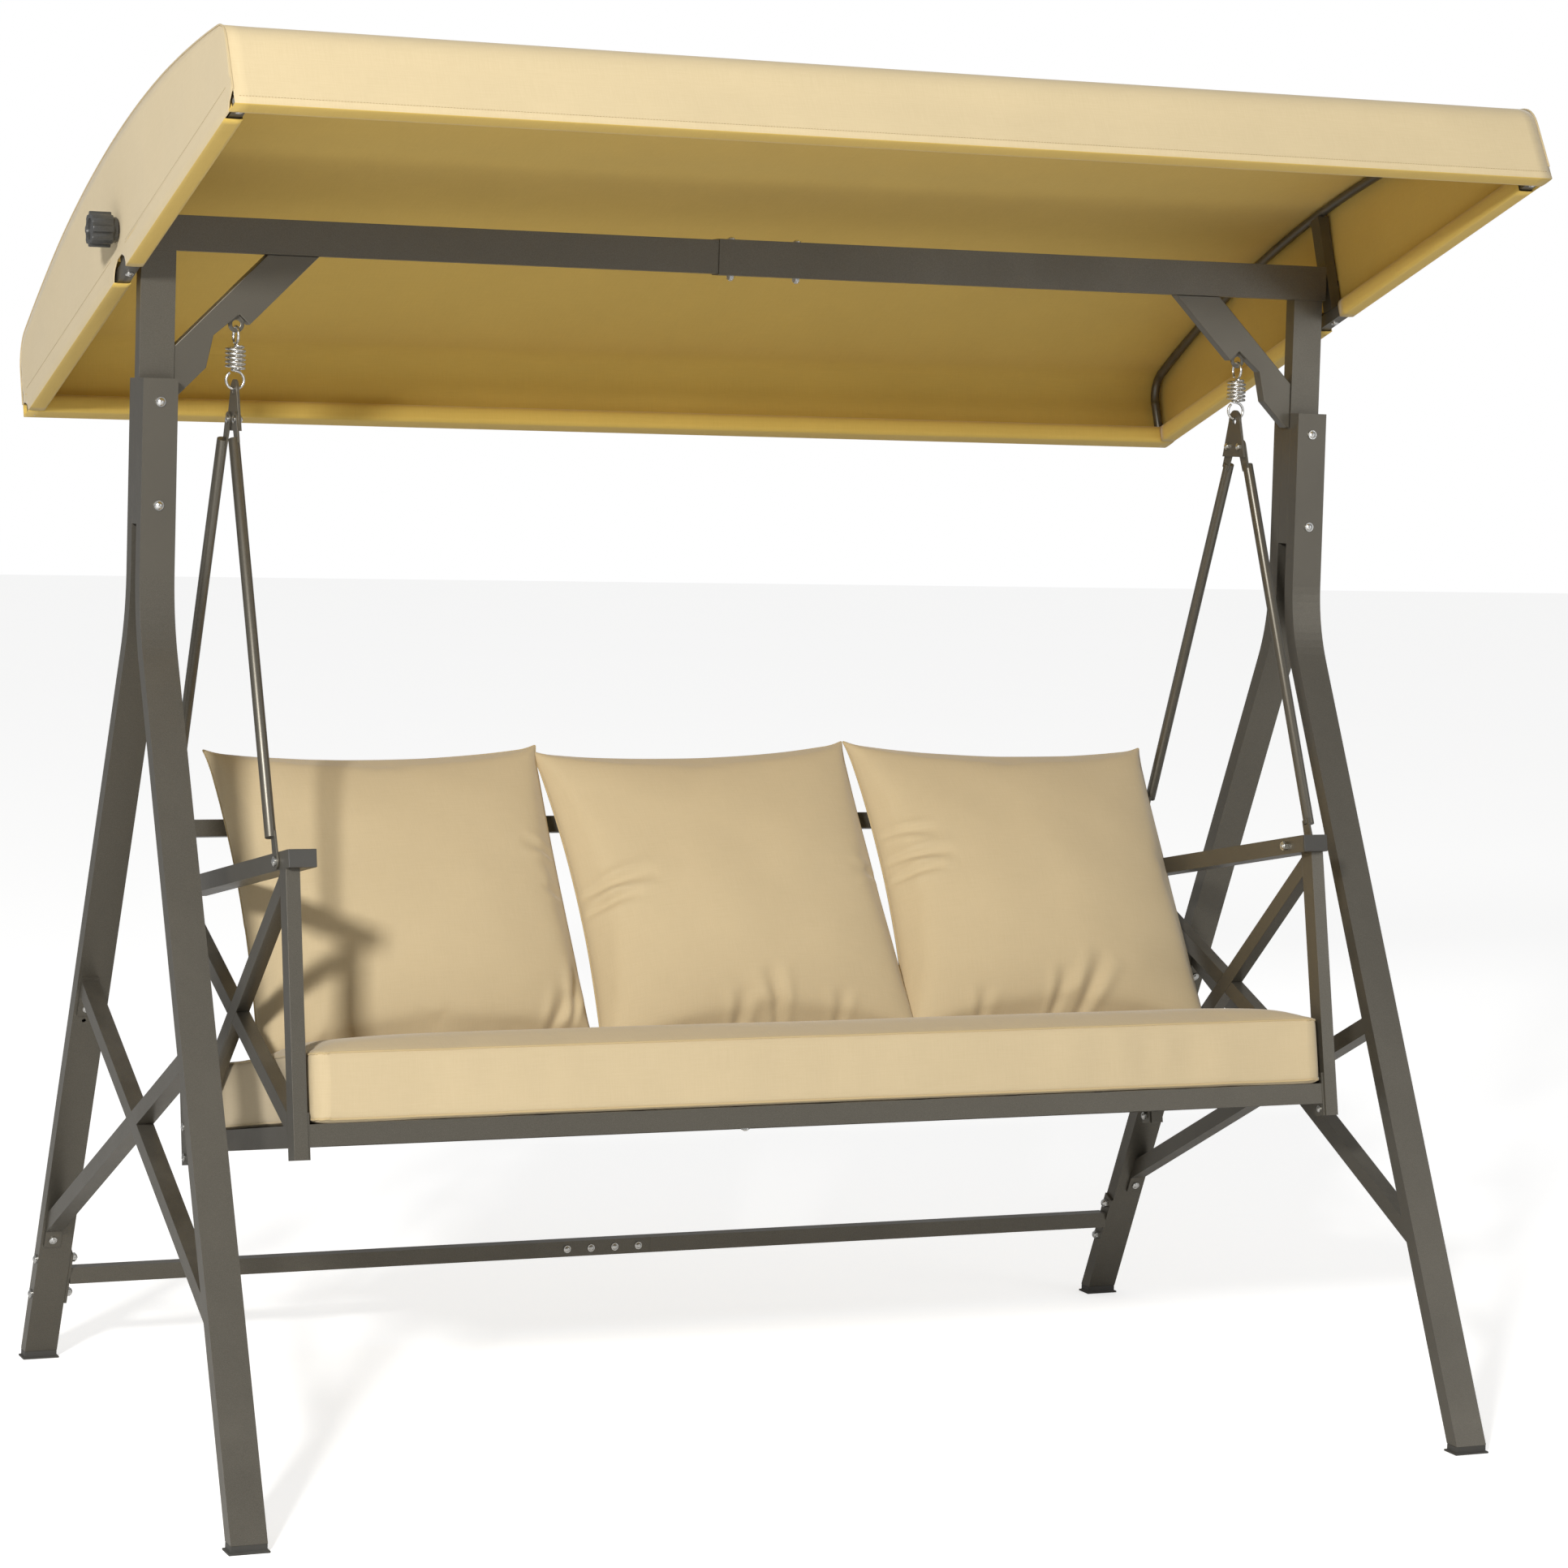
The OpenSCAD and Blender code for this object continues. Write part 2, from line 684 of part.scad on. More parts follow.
module seat_cushion() {
    w = sx - post_w - 11;
    r = 28;
    color(cloth_c) seat() translate([0, 0, base_hi + 0.5]) linear_extrude(cushion_t) {
        translate([-w + r, cush_u0]) square([2 * (w - r), cush_u1 - cush_u0]);
        translate([-w, cush_u0 + r]) square([2 * w, cush_u1 - cush_u0 - 2 * r]);
        for (x = [-w + r, w - r]) for (u = [cush_u0 + r, cush_u1 - r])
            translate([x, u]) circle(r = r);
    }
}

lean = 22.9;
pillow_mid = 2;
pillow_step = pillow_w + 6;
pil_foot = [rear_u - 211, base_hi + cushion_t + 17];

module pillow(x) {
    hw = pillow_w / 2;
    hh = pillow_h / 2;
    ht = pillow_t / 2;
    rw = (hw * hw + ht * ht) / (2 * ht);
    rh = (hh * hh + ht * ht) / (2 * ht);
    color(cloth_c) seat() translate([x, pil_foot[0], pil_foot[1]]) rotate([-lean, 0, 0])
        translate([0, 0, hh]) intersection() {
            translate([0, rw - ht, 0]) cylinder(r = rw, h = pillow_h + 20, center = true, $fn = 240);
            translate([0, ht - rw, 0]) cylinder(r = rw, h = pillow_h + 20, center = true, $fn = 240);
            translate([0, rh - ht, 0]) rotate([0, 90, 0])
                cylinder(r = rh, h = pillow_w + 20, center = true, $fn = 240);
            translate([0, ht - rh, 0]) rotate([0, 90, 0])
                cylinder(r = rh, h = pillow_w + 20, center = true, $fn = 240);
        }
}

// Canopy, drawn about the tilt pivot and tilted as one
module canopy() {
    translate([0, 0, pivot_c]) rotate([-canopy_tilt, 0, 0]) children();
}

arc_q = canopy_rise - arc_r;
corner_r = 55;

// Side profile of the cover, k inside the outer face
module profile(k, low) {
    r = arc_r - k;
    pf = -cp + 20 + k;
    pr = cp - k;
    rc = corner_r - k;
    cb = [pr - rc, arc_q + sqrt((r - rc) * (r - rc) - (pr - rc) * (pr - rc))];
    a1 = atan2(pr - rc, cb[1] - arc_q);
    a0 = -asin(-pf / r);
    polygon(concat([[-cp + k, low]],
        [for (i = [0:24]) [r * sin(a0 + (a1 - a0) * i / 24), arc_q + r * cos(a0 + (a1 - a0) * i / 24)]],
        [for (i = [1:8]) cb + rc * [sin(a1 + (90 - a1) * i / 8), cos(a1 + (90 - a1) * i / 8)]],
        [[pr, low]]));
}

module canopy_cover() {
    w = side_x + 14;
    color(cloth_c) canopy() difference() {
        yz(-w, w) profile(0, tube_q - 2);
        yz(-w + 2, w - 2) profile(2, tube_q - 12);
        for (s = [-1, 1]) side(s) {
            translate([w - 10, -34, tube_q - 10]) cube([20, 68, 34]);
            translate([w - 10, 0, 0]) rotate([0, 90, 0]) cylinder(r = 9, h = 20);
        }
    }
}

module rib(s) {
    rr = arc_r - 3 - rib_d / 2;
    pf = -cp + 32;
    pr = cp - 12;
    bf = 34;
    br = 44;
    cf = [pf + bf, arc_q + sqrt((rr - bf) * (rr - bf) - (pf + bf) * (pf + bf))];
    cr = [pr - br, arc_q + sqrt((rr - br) * (rr - br) - (pr - br) * (pr - br))];
    af = atan2(cf[0], cf[1] - arc_q);
    ar = atan2(cr[0], cr[1] - arc_q);
    q0 = tube_q + tube_t + gap;
    color(frame_c) side(s) canopy() translate([side_x, 0, 0]) difference() {
        union() {
            rod_to([0, pf, q0], [0, pf, cf[1]], rib_d / 2);
            rod_to([0, pr, q0], [0, pr, cr[1]], rib_d / 2);
            rib_arc(cf, bf, 180, 90 - af, rib_d / 2, 96);
            rib_arc([0, arc_q], rr, 90 - af, 90 - ar, rib_d / 2, 720);
            rib_arc(cr, br, 90 - ar, 0, rib_d / 2, 96);
            rib_collar(cf, bf, 180);
            rib_collar(cf, bf, 90 - af);
            rib_collar(cr, br, 90 - ar);
            rib_collar(cr, br, 0);
        }
        for (p = [pf, pr])
            translate([0, p, q0 - 1]) cylinder(r = 3.2, h = 12);
    }
}

// The slight swell where two lengths of a rib meet
module rib_collar(c, r, a) {
    p = c + r * [cos(a), sin(a)];
    t = 2 * [-sin(a), cos(a)];
    rod_to([0, p[0] - t[0], p[1] - t[1]], [0, p[0] + t[0], p[1] + t[1]], rib_d / 2 + 0.3);
}

module rib_arc(c, r, a0, a1, t, n) {
    translate([0, c[0], c[1]]) rotate([90, 0, 90]) rotate([0, 0, a1])
        rotate_extrude(angle = a0 - a1, $fn = n) translate([r, 0]) circle(r = t, $fn = 32);
}

module canopy_side_tube(s) {
    color(frame_c) side(s) canopy() difference() {
        tube_y(side_x - tube_t / 2, side_x + tube_t / 2, -cp + 10, cp - 6, tube_q, tube_q + tube_t, wall);
        for (p = [-cp + 32, 0, cp - 12])
            translate([side_x, p, tube_q - 5]) cylinder(r = 3.2, h = 30);
        for (p = [front_p, rear_p])
            translate([side_x - 20, p, tube_q + tube_t / 2]) rotate([0, 90, 0]) cylinder(r = 3.2, h = 40);
    }
}

module cross_tube(p) {
    x1 = side_x - tube_t / 2 - gap;
    color(frame_c) canopy()
        tube_x(-x1, x1, p - 8, p + 8, tube_q + 1, tube_q + 17, wall);
}

module canopy_front_tube() {
    cross_tube(front_p);
}

module canopy_rear_tube() {
    cross_tube(rear_p);
}

module tilt_bracket(s) {
    rr = arc_r - 3 - rib_d;
    color(frame_c) side(s) canopy() difference() {
        tube_z(side_x - 10, side_x + 8, -12.5, 12.5, tube_q + tube_t + gap, arc_q + rr - 0.5, wall);
        translate([side_x - 20, 0, 0]) rotate([0, 90, 0]) cylinder(r = 4.05, h = 40);
    }
}

module canopy_caps() {
    color(dark_c) for (s = [-1, 1]) side(s) canopy() {
        translate([side_x - 9, -cp + 7, tube_q]) cube([tube_t, 2.8, tube_t]);
        translate([side_x - 9 + wall + gap, -cp + 9.5, tube_q + wall + gap])
            cube([tube_t - 2 * wall - 2 * gap, 3, tube_t - 2 * wall - 2 * gap]);
        translate([side_x - 9, cp - 5.8, tube_q]) cube([tube_t, 2.8, tube_t]);
        translate([side_x - 9 + wall + gap, cp - 8.5, tube_q + wall + gap])
            cube([tube_t - 2 * wall - 2 * gap, 3, tube_t - 2 * wall - 2 * gap]);
    }
}

module canopy_bolts() {
    color(zinc_c) for (s = [-1, 1]) side(s) canopy() {
        for (p = [-cp + 32, cp - 12])
            translate([side_x, p, tube_q]) bolt(3, tube_t + 8, 5, 3, 0);
        translate([side_x, 0, tube_q]) bolt(3, tube_t + 6, 6, 4, 0);
        for (p = [front_p, rear_p])
            translate([side_x + 9, p, tube_q + tube_t / 2]) rotate([0, -90, 0]) bolt(3, tube_t + 8, 5, 2.4, 0);
    }
}

module knob(s) {
    x0 = side_x + 14 + 1;
    color(dark_c) side(s) translate([0, 0, pivot_c]) rotate([0, 90, 0]) {
        translate([0, 0, x0]) cylinder(r = knob_d * 0.36, h = 8);
        difference() {
            translate([0, 0, x0 + 7.9]) cylinder(r = knob_d / 2, h = 30);
            for (i = [0:7])
                rotate([0, 0, 45 * i + 22.5]) translate([knob_d / 2 + 3.5, 0, x0 + 5]) cylinder(r = 7, h = 35);
            translate([0, 0, x0 + 35.5]) cylinder(r = knob_d * 0.3, h = 5);
        }
        translate([0, 0, xo - 12]) cylinder(r = 4, h = x0 - xo + 13);
    }
}

front_leg(-1);  // front_leg_left
front_leg(1);  // front_leg_right
rear_leg(-1);  // rear_leg_left
rear_leg(1);  // rear_leg_right
foot_caps();
side_brace(-1);  // side_brace_left
side_brace(1);  // side_brace_right
post(-1);  // post_left
post(1);  // post_right
beam_left();
beam_right();
gusset(-1);  // gusset_left
gusset(1);  // gusset_right
stretcher_left();
stretcher_right();
leg_bolts();
brace_bolts();
stretcher_bolts();
beam_bolts();
spring(-1);  // spring_left
spring(1);  // spring_right
strap(-1);  // strap_left
strap(1);  // strap_right
hanger_front(-1);  // hanger_front_left
hanger_front(1);  // hanger_front_right
hanger_rear(-1);  // hanger_rear_left
hanger_rear(1);  // hanger_rear_right
hanger_rivets();
hanger_bolts();
seat_front_post(-1);  // seat_front_post_left
seat_front_post(1);  // seat_front_post_right
seat_rear_post(-1);  // seat_rear_post_left
seat_rear_post(1);  // seat_rear_post_right
seat_side_brace(-1);  // seat_side_brace_left
seat_side_brace(1);  // seat_side_brace_right
arm(-1);  // arm_left
arm(1);  // arm_right
arm_caps();
seat_base_frame();
back_rail();
back_slats();
seat_bolts();
seat_cushion();
pillow(pillow_mid - pillow_step);  // pillow_left
pillow(pillow_mid);  // pillow_middle
pillow(pillow_mid + pillow_step);  // pillow_right
canopy_cover();
rib(-1);  // canopy_rib_left
rib(1);  // canopy_rib_right
canopy_side_tube(-1);  // canopy_side_tube_left
canopy_side_tube(1);  // canopy_side_tube_right
canopy_front_tube();
canopy_rear_tube();
tilt_bracket(-1);  // tilt_bracket_left
tilt_bracket(1);  // tilt_bracket_right
canopy_caps();
canopy_bolts();
knob(-1);  // knob_left
knob(1);  // knob_right
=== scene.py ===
"""Canopy swing bench: fabric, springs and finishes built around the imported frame.

All lengths are metres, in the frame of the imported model: +X to the right seen from the front,
-Y to the front and +Z up, with the origin on the ground under the middle of the beam.
"""

import json
import logging
import math
from dataclasses import dataclass, field
from enum import Enum

import bmesh
import bpy
import numpy as np
from mathutils import Matrix, Vector, noise


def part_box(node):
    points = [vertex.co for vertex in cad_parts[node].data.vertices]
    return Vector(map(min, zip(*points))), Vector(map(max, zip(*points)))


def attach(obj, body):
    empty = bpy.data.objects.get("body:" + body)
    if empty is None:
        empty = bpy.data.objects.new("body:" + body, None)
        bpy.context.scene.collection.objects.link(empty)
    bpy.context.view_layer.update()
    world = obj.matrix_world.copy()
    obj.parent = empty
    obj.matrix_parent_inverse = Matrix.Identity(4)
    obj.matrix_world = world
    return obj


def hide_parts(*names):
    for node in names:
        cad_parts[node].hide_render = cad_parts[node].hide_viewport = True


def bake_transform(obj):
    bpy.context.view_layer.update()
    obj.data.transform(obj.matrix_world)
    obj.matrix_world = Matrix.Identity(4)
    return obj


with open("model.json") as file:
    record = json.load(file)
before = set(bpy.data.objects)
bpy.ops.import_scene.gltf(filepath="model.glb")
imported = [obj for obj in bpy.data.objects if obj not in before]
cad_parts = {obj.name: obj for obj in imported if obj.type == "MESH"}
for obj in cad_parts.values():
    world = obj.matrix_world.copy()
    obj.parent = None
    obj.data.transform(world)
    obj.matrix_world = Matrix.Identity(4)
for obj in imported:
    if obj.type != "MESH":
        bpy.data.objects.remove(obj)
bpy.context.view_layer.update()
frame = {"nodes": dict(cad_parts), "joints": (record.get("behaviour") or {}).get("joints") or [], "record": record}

LOG = logging.getLogger("swing_bench")
CLOTH_UV = "cloth"
Colour = tuple[float, float, float, float]


class Slot(Enum):
    """The material slots of the record that new pieces take their finish from."""

    ZINC = "zinc"
    CANOPY = "canopy_cloth"
    CUSHION = "cushion_cloth"


# ---------------------------------------------------------------- node helpers


class NodeTree:
    """A thin wrapper that adds and links shader nodes in one tree."""

    def __init__(self, tree: bpy.types.NodeTree) -> None:
        """Keeps the tree that nodes are added to."""
        self.tree = tree

    def add(self, kind: str, **settings: object) -> bpy.types.Node:
        """Adds a node.

        Args:
            kind: The node's type without the ShaderNode prefix.
            settings: Properties set on the node.

        Returns:
            The new node.
        """
        name = kind if kind.startswith("Node") else "ShaderNode" + kind
        node = self.tree.nodes.new(name)
        for key, value in settings.items():
            setattr(node, key, value)
        return node

    def link(self, source: bpy.types.NodeSocket, target: bpy.types.NodeSocket) -> None:
        """Links two sockets."""
        self.tree.links.new(source, target)

    def feed(self, node: bpy.types.Node, key: int | str, value: object) -> None:
        """Sets a node's input, or links it.

        Args:
            node: The node.
            key: The input's name or number.
            value: A value to set, or a socket to link.
        """
        if isinstance(value, bpy.types.NodeSocket):
            self.link(value, node.inputs[key])
        else:
            node.inputs[key].default_value = value

    def math(
        self, operation: str, a: object, b: object = 0.0, clamp: bool = False
    ) -> bpy.types.NodeSocket:
        """Adds a Math node.

        Args:
            operation: The node's operation.
            a: First value or socket.
            b: Second value or socket.
            clamp: Whether the result is kept from 0 to 1.

        Returns:
            The node's output.
        """
        node = self.add("Math", operation=operation, use_clamp=clamp)
        self.feed(node, 0, a)
        self.feed(node, 1, b)
        return node.outputs[0]

    def mix(self, factor: object, a: object, b: object) -> bpy.types.NodeSocket:
        """Mixes two colours.

        Args:
            factor: Share of the second colour, as a value or socket.
            a: First colour or socket.
            b: Second colour or socket.

        Returns:
            The mixed colour's socket.
        """
        node = self.add("Mix", data_type="RGBA")
        self.feed(node, 0, factor)
        self.feed(node, 6, a)
        self.feed(node, 7, b)
        return node.outputs[2]

    def noise(
        self, vector: object, scale: float, detail: float = 2.0, rough: float = 0.5
    ) -> bpy.types.NodeSocket:
        """Adds a Noise Texture.

        Args:
            vector: Where the noise is read.
            scale: Its fineness.
            detail: Its number of octaves.
            rough: How much the finer octaves count.

        Returns:
            The noise's factor.
        """
        node = self.add("TexNoise")
        self.feed(node, "Vector", vector)
        self.feed(node, "Scale", scale)
        self.feed(node, "Detail", detail)
        self.feed(node, "Roughness", rough)
        return node.outputs["Fac"]

    def ramp(
        self, value: object, low: float, high: float, out_low: float = 0.0, out_high: float = 1.0
    ) -> bpy.types.NodeSocket:
        """Maps one range of a value onto another, and clamps it.

        Args:
            value: The value or socket.
            low: Start of the range read.
            high: End of the range read.
            out_low: Result at low.
            out_high: Result at high.

        Returns:
            The mapped value's socket.
        """
        node = self.add("MapRange", clamp=True)
        self.feed(node, "Value", value)
        limits = {"From Min": low, "From Max": high, "To Min": out_low, "To Max": out_high}
        for key, number in limits.items():
            node.inputs[key].default_value = number
        return node.outputs["Result"]

    def scaled(self, vector: object, scale: tuple[float, float, float]) -> bpy.types.NodeSocket:
        """Stretches a vector by a Mapping node.

        Args:
            vector: The vector's socket.
            scale: The factor along each axis.

        Returns:
            The stretched vector's socket.
        """
        node = self.add("Mapping")
        self.feed(node, "Vector", vector)
        node.inputs["Scale"].default_value = scale
        return node.outputs["Vector"]


def new_group(
    name: str, inputs: list[tuple[str, str, object]], outputs: list[tuple[str, str]]
) -> tuple[bpy.types.NodeTree, NodeTree, bpy.types.Node, bpy.types.Node]:
    """Starts a shader node group with named sockets.

    Args:
        name: The group's name.
        inputs: (name, socket type, default) of each input; a default of None is left as it is.
        outputs: (name, socket type) of each output.

    Returns:
        The group, its wrapper, its input node and its output node.
    """
    group = bpy.data.node_groups.new(name, "ShaderNodeTree")
    for label, kind, default in inputs:
        socket = group.interface.new_socket(name=label, in_out="INPUT", socket_type=kind)
        if default is not None:
            socket.default_value = default
    for label, kind in outputs:
        group.interface.new_socket(name=label, in_out="OUTPUT", socket_type=kind)
    kit = NodeTree(group)
    return group, kit, kit.add("NodeGroupInput"), kit.add("NodeGroupOutput")


class SharedEffects:
    """The shader groups that several finishes use: weave, grain and dust."""

    def __init__(self) -> None:
        """Builds each group once."""
        self.weave = self._weave()
        self.grain = self._grain()
        self.dust = self._dust()

    @staticmethod
    def _weave() -> bpy.types.NodeTree:
        """Builds a plain weave with uneven yarns.

        Returns:
            The group.
        """
        group, kit, start, end = new_group(
            "plain_weave",
            [
                ("Vector", "NodeSocketVector", None),
                ("Yarns Per Metre", "NodeSocketFloat", 1100.0),
                ("Slub", "NodeSocketFloat", 0.5),
            ],
            [("Shade", "NodeSocketFloat"), ("Height", "NodeSocketFloat"), ("Mottle", "NodeSocketFloat")],
        )
        split = kit.add("SeparateXYZ")
        kit.link(start.outputs["Vector"], split.inputs[0])
        turns = kit.math("MULTIPLY", start.outputs["Yarns Per Metre"], math.pi)
        warp = kit.math("SINE", kit.math("MULTIPLY", split.outputs[0], turns))
        weft = kit.math("SINE", kit.math("MULTIPLY", split.outputs[1], turns))
        cells = kit.math("ADD", kit.math("MULTIPLY", kit.math("MULTIPLY", warp, weft), 0.5), 0.5)
        along = kit.noise(kit.scaled(start.outputs["Vector"], (26.0, 620.0, 1.0)), 1.0, 3.0, 0.6)
        across = kit.noise(kit.scaled(start.outputs["Vector"], (620.0, 26.0, 1.0)), 1.0, 3.0, 0.6)
        slub = kit.ramp(kit.math("MULTIPLY", kit.math("ADD", along, across), 0.5), 0.36, 0.64)
        uneven = kit.math("MULTIPLY", slub, start.outputs["Slub"])
        shade = kit.math("ADD", kit.math("MULTIPLY", cells, 0.35), uneven, clamp=True)
        kit.link(shade, end.inputs["Shade"])
        height = kit.math("ADD", kit.math("MULTIPLY", cells, 0.6), kit.math("MULTIPLY", slub, 0.4))
        kit.link(height, end.inputs["Height"])
        broad = kit.noise(start.outputs["Vector"], 7.0, 4.0, 0.6)
        kit.link(kit.ramp(broad, 0.32, 0.68), end.inputs["Mottle"])
        return group

    @staticmethod
    def _grain() -> bpy.types.NodeTree:
        """Builds the fine orange-peel grain of a coated or moulded surface.

        Returns:
            The group.
        """
        group, kit, start, end = new_group(
            "fine_grain",
            [("Vector", "NodeSocketVector", None), ("Fineness", "NodeSocketFloat", 900.0)],
            [("Speckle", "NodeSocketFloat"), ("Cloud", "NodeSocketFloat"), ("Height", "NodeSocketFloat")],
        )
        fine = kit.add("TexNoise")
        kit.link(start.outputs["Vector"], fine.inputs["Vector"])
        kit.link(start.outputs["Fineness"], fine.inputs["Scale"])
        fine.inputs["Detail"].default_value = 3.0
        kit.link(kit.ramp(fine.outputs["Fac"], 0.40, 0.62), end.inputs["Speckle"])
        cloud = kit.noise(start.outputs["Vector"], 5.0, 5.0, 0.62)
        kit.link(kit.ramp(cloud, 0.3, 0.7), end.inputs["Cloud"])
        kit.link(fine.outputs["Fac"], end.inputs["Height"])
        return group

    @staticmethod
    def _dust() -> bpy.types.NodeTree:
        """Builds masks of the dust on upward faces and of thin scuffs.

        Returns:
            The group.
        """
        group, kit, start, end = new_group(
            "settled_dust",
            [("Vector", "NodeSocketVector", None), ("Amount", "NodeSocketFloat", 0.3)],
            [("Dust", "NodeSocketFloat"), ("Scuff", "NodeSocketFloat")],
        )
        facing = kit.add("SeparateXYZ")
        kit.link(kit.add("NewGeometry").outputs["Normal"], facing.inputs[0])
        upward = kit.ramp(facing.outputs[2], 0.35, 0.95)
        patches = kit.ramp(kit.noise(start.outputs["Vector"], 11.0, 6.0, 0.65), 0.38, 0.72)
        settled = kit.math("MULTIPLY", upward, patches)
        kit.link(kit.math("MULTIPLY", settled, start.outputs["Amount"]), end.inputs["Dust"])
        streaks = kit.noise(kit.scaled(start.outputs["Vector"], (90.0, 90.0, 9.0)), 1.0, 6.0, 0.7)
        scuffs = kit.ramp(streaks, 0.66, 0.74)
        kit.link(kit.math("MULTIPLY", scuffs, start.outputs["Amount"]), end.inputs["Scuff"])
        return group


def start_material(name: str) -> tuple[bpy.types.Material, NodeTree, bpy.types.Node]:
    """Starts a material with an empty tree.

    Args:
        name: The material's name.

    Returns:
        The material, its node wrapper and its Principled BSDF.
    """
    material = bpy.data.materials.new(name)
    material.use_nodes = True
    material.node_tree.nodes.clear()
    kit = NodeTree(material.node_tree)
    shader = kit.add("BsdfPrincipled")
    kit.link(shader.outputs[0], kit.add("OutputMaterial").inputs["Surface"])
    return material, kit, shader


def set_bump(
    kit: NodeTree, shader: bpy.types.Node, height: bpy.types.NodeSocket, strength: float, distance: float
) -> None:
    """Adds a Bump node between a height and the shader's normal.

    Args:
        kit: The material's node wrapper.
        shader: Its Principled BSDF.
        height: The height from 0 to 1.
        strength: The bump's strength.
        distance: The relief's depth in metres.
    """
    bump = kit.add("Bump")
    bump.inputs["Strength"].default_value = strength
    bump.inputs["Distance"].default_value = distance
    kit.link(height, bump.inputs["Height"])
    kit.link(bump.outputs["Normal"], shader.inputs["Normal"])


@dataclass(frozen=True)
class WovenCloth:
    """A plain-woven outdoor polyester, dyed in the yarn."""

    name: str
    light: Colour
    dark: Colour
    slub: float = 0.5
    yarns_per_metre: float = 1100.0
    bump_depth: float = 0.0003
    sheen: float = 0.25

    def build(self, effects: SharedEffects) -> bpy.types.Material:
        """Builds the material from the shared weave.

        Args:
            effects: The shared shader groups.

        Returns:
            The material.
        """
        material, kit, shader = start_material(self.name)
        uv = kit.add("UVMap", uv_map=CLOTH_UV)
        weave = kit.add("Group", node_tree=effects.weave)
        kit.link(uv.outputs[0], weave.inputs["Vector"])
        weave.inputs["Yarns Per Metre"].default_value = self.yarns_per_metre
        weave.inputs["Slub"].default_value = self.slub
        yarn = kit.mix(weave.outputs["Shade"], self.dark, self.light)
        shadow = tuple(0.93 * channel for channel in self.light[:3]) + (1.0,)
        faded = kit.mix(0.5, yarn, kit.mix(weave.outputs["Mottle"], shadow, self.light))
        kit.link(faded, shader.inputs["Base Color"])
        kit.link(kit.ramp(weave.outputs["Shade"], 0.0, 1.0, 0.96, 0.82), shader.inputs["Roughness"])
        shader.inputs["Sheen Weight"].default_value = self.sheen
        shader.inputs["Sheen Roughness"].default_value = 0.45
        shader.inputs["Specular IOR Level"].default_value = 0.18
        set_bump(kit, shader, weave.outputs["Height"], 0.35, self.bump_depth)
        return material


@dataclass(frozen=True)
class PowderCoat:
    """A fine metallic powder coat over steel tube, a little dusty on top and scuffed."""

    name: str = "taupe_powder_coat"
    base: Colour = (0.128, 0.117, 0.094, 1.0)
    fleck: Colour = (0.200, 0.186, 0.156, 1.0)
    dust: Colour = (0.36, 0.33, 0.27, 1.0)

    def build(self, effects: SharedEffects) -> bpy.types.Material:
        """Builds the material from the shared grain and dust.

        Args:
            effects: The shared shader groups.

        Returns:
            The material.
        """
        material, kit, shader = start_material(self.name)
        place = kit.add("TexCoord").outputs["Object"]
        grain = kit.add("Group", node_tree=effects.grain)
        kit.link(place, grain.inputs["Vector"])
        grain.inputs["Fineness"].default_value = 1300.0
        settled = kit.add("Group", node_tree=effects.dust)
        kit.link(place, settled.inputs["Vector"])
        settled.inputs["Amount"].default_value = 0.28
        coat = kit.mix(kit.math("MULTIPLY", grain.outputs["Speckle"], 0.55), self.base, self.fleck)
        deep = tuple(0.82 * channel for channel in self.base[:3]) + (1.0,)
        clouded = kit.mix(kit.math("MULTIPLY", grain.outputs["Cloud"], 0.3), coat, deep)
        worn = kit.mix(settled.outputs["Scuff"], clouded, self.fleck)
        kit.link(kit.mix(settled.outputs["Dust"], worn, self.dust), shader.inputs["Base Color"])
        satin = kit.ramp(grain.outputs["Cloud"], 0.0, 1.0, 0.36, 0.46)
        rough = kit.math("ADD", satin, kit.math("MULTIPLY", settled.outputs["Dust"], 0.5), clamp=True)
        kit.link(rough, shader.inputs["Roughness"])
        shader.inputs["Metallic"].default_value = 0.70
        shader.inputs["Coat Weight"].default_value = 0.18
        shader.inputs["Coat Roughness"].default_value = 0.25
        set_bump(kit, shader, grain.outputs["Height"], 0.12, 0.0004)
        return material


@dataclass(frozen=True)
class ZincPlate:
    """Bright zinc on bolts, rivets and spring wire, with a faint bloom."""

    name: str = "bright_zinc"
    bright: Colour = (0.80, 0.80, 0.79, 1.0)
    bloom: Colour = (0.56, 0.56, 0.54, 1.0)

    def build(self, effects: SharedEffects) -> bpy.types.Material:
        """Builds the material from the shared grain.

        Args:
            effects: The shared shader groups.

        Returns:
            The material.
        """
        material, kit, shader = start_material(self.name)
        grain = kit.add("Group", node_tree=effects.grain)
        kit.link(kit.add("TexCoord").outputs["Object"], grain.inputs["Vector"])
        grain.inputs["Fineness"].default_value = 420.0
        kit.link(kit.mix(grain.outputs["Speckle"], self.bright, self.bloom), shader.inputs["Base Color"])
        kit.link(kit.ramp(grain.outputs["Speckle"], 0.0, 1.0, 0.20, 0.38), shader.inputs["Roughness"])
        shader.inputs["Metallic"].default_value = 1.0
        set_bump(kit, shader, grain.outputs["Height"], 0.1, 0.0003)
        return material


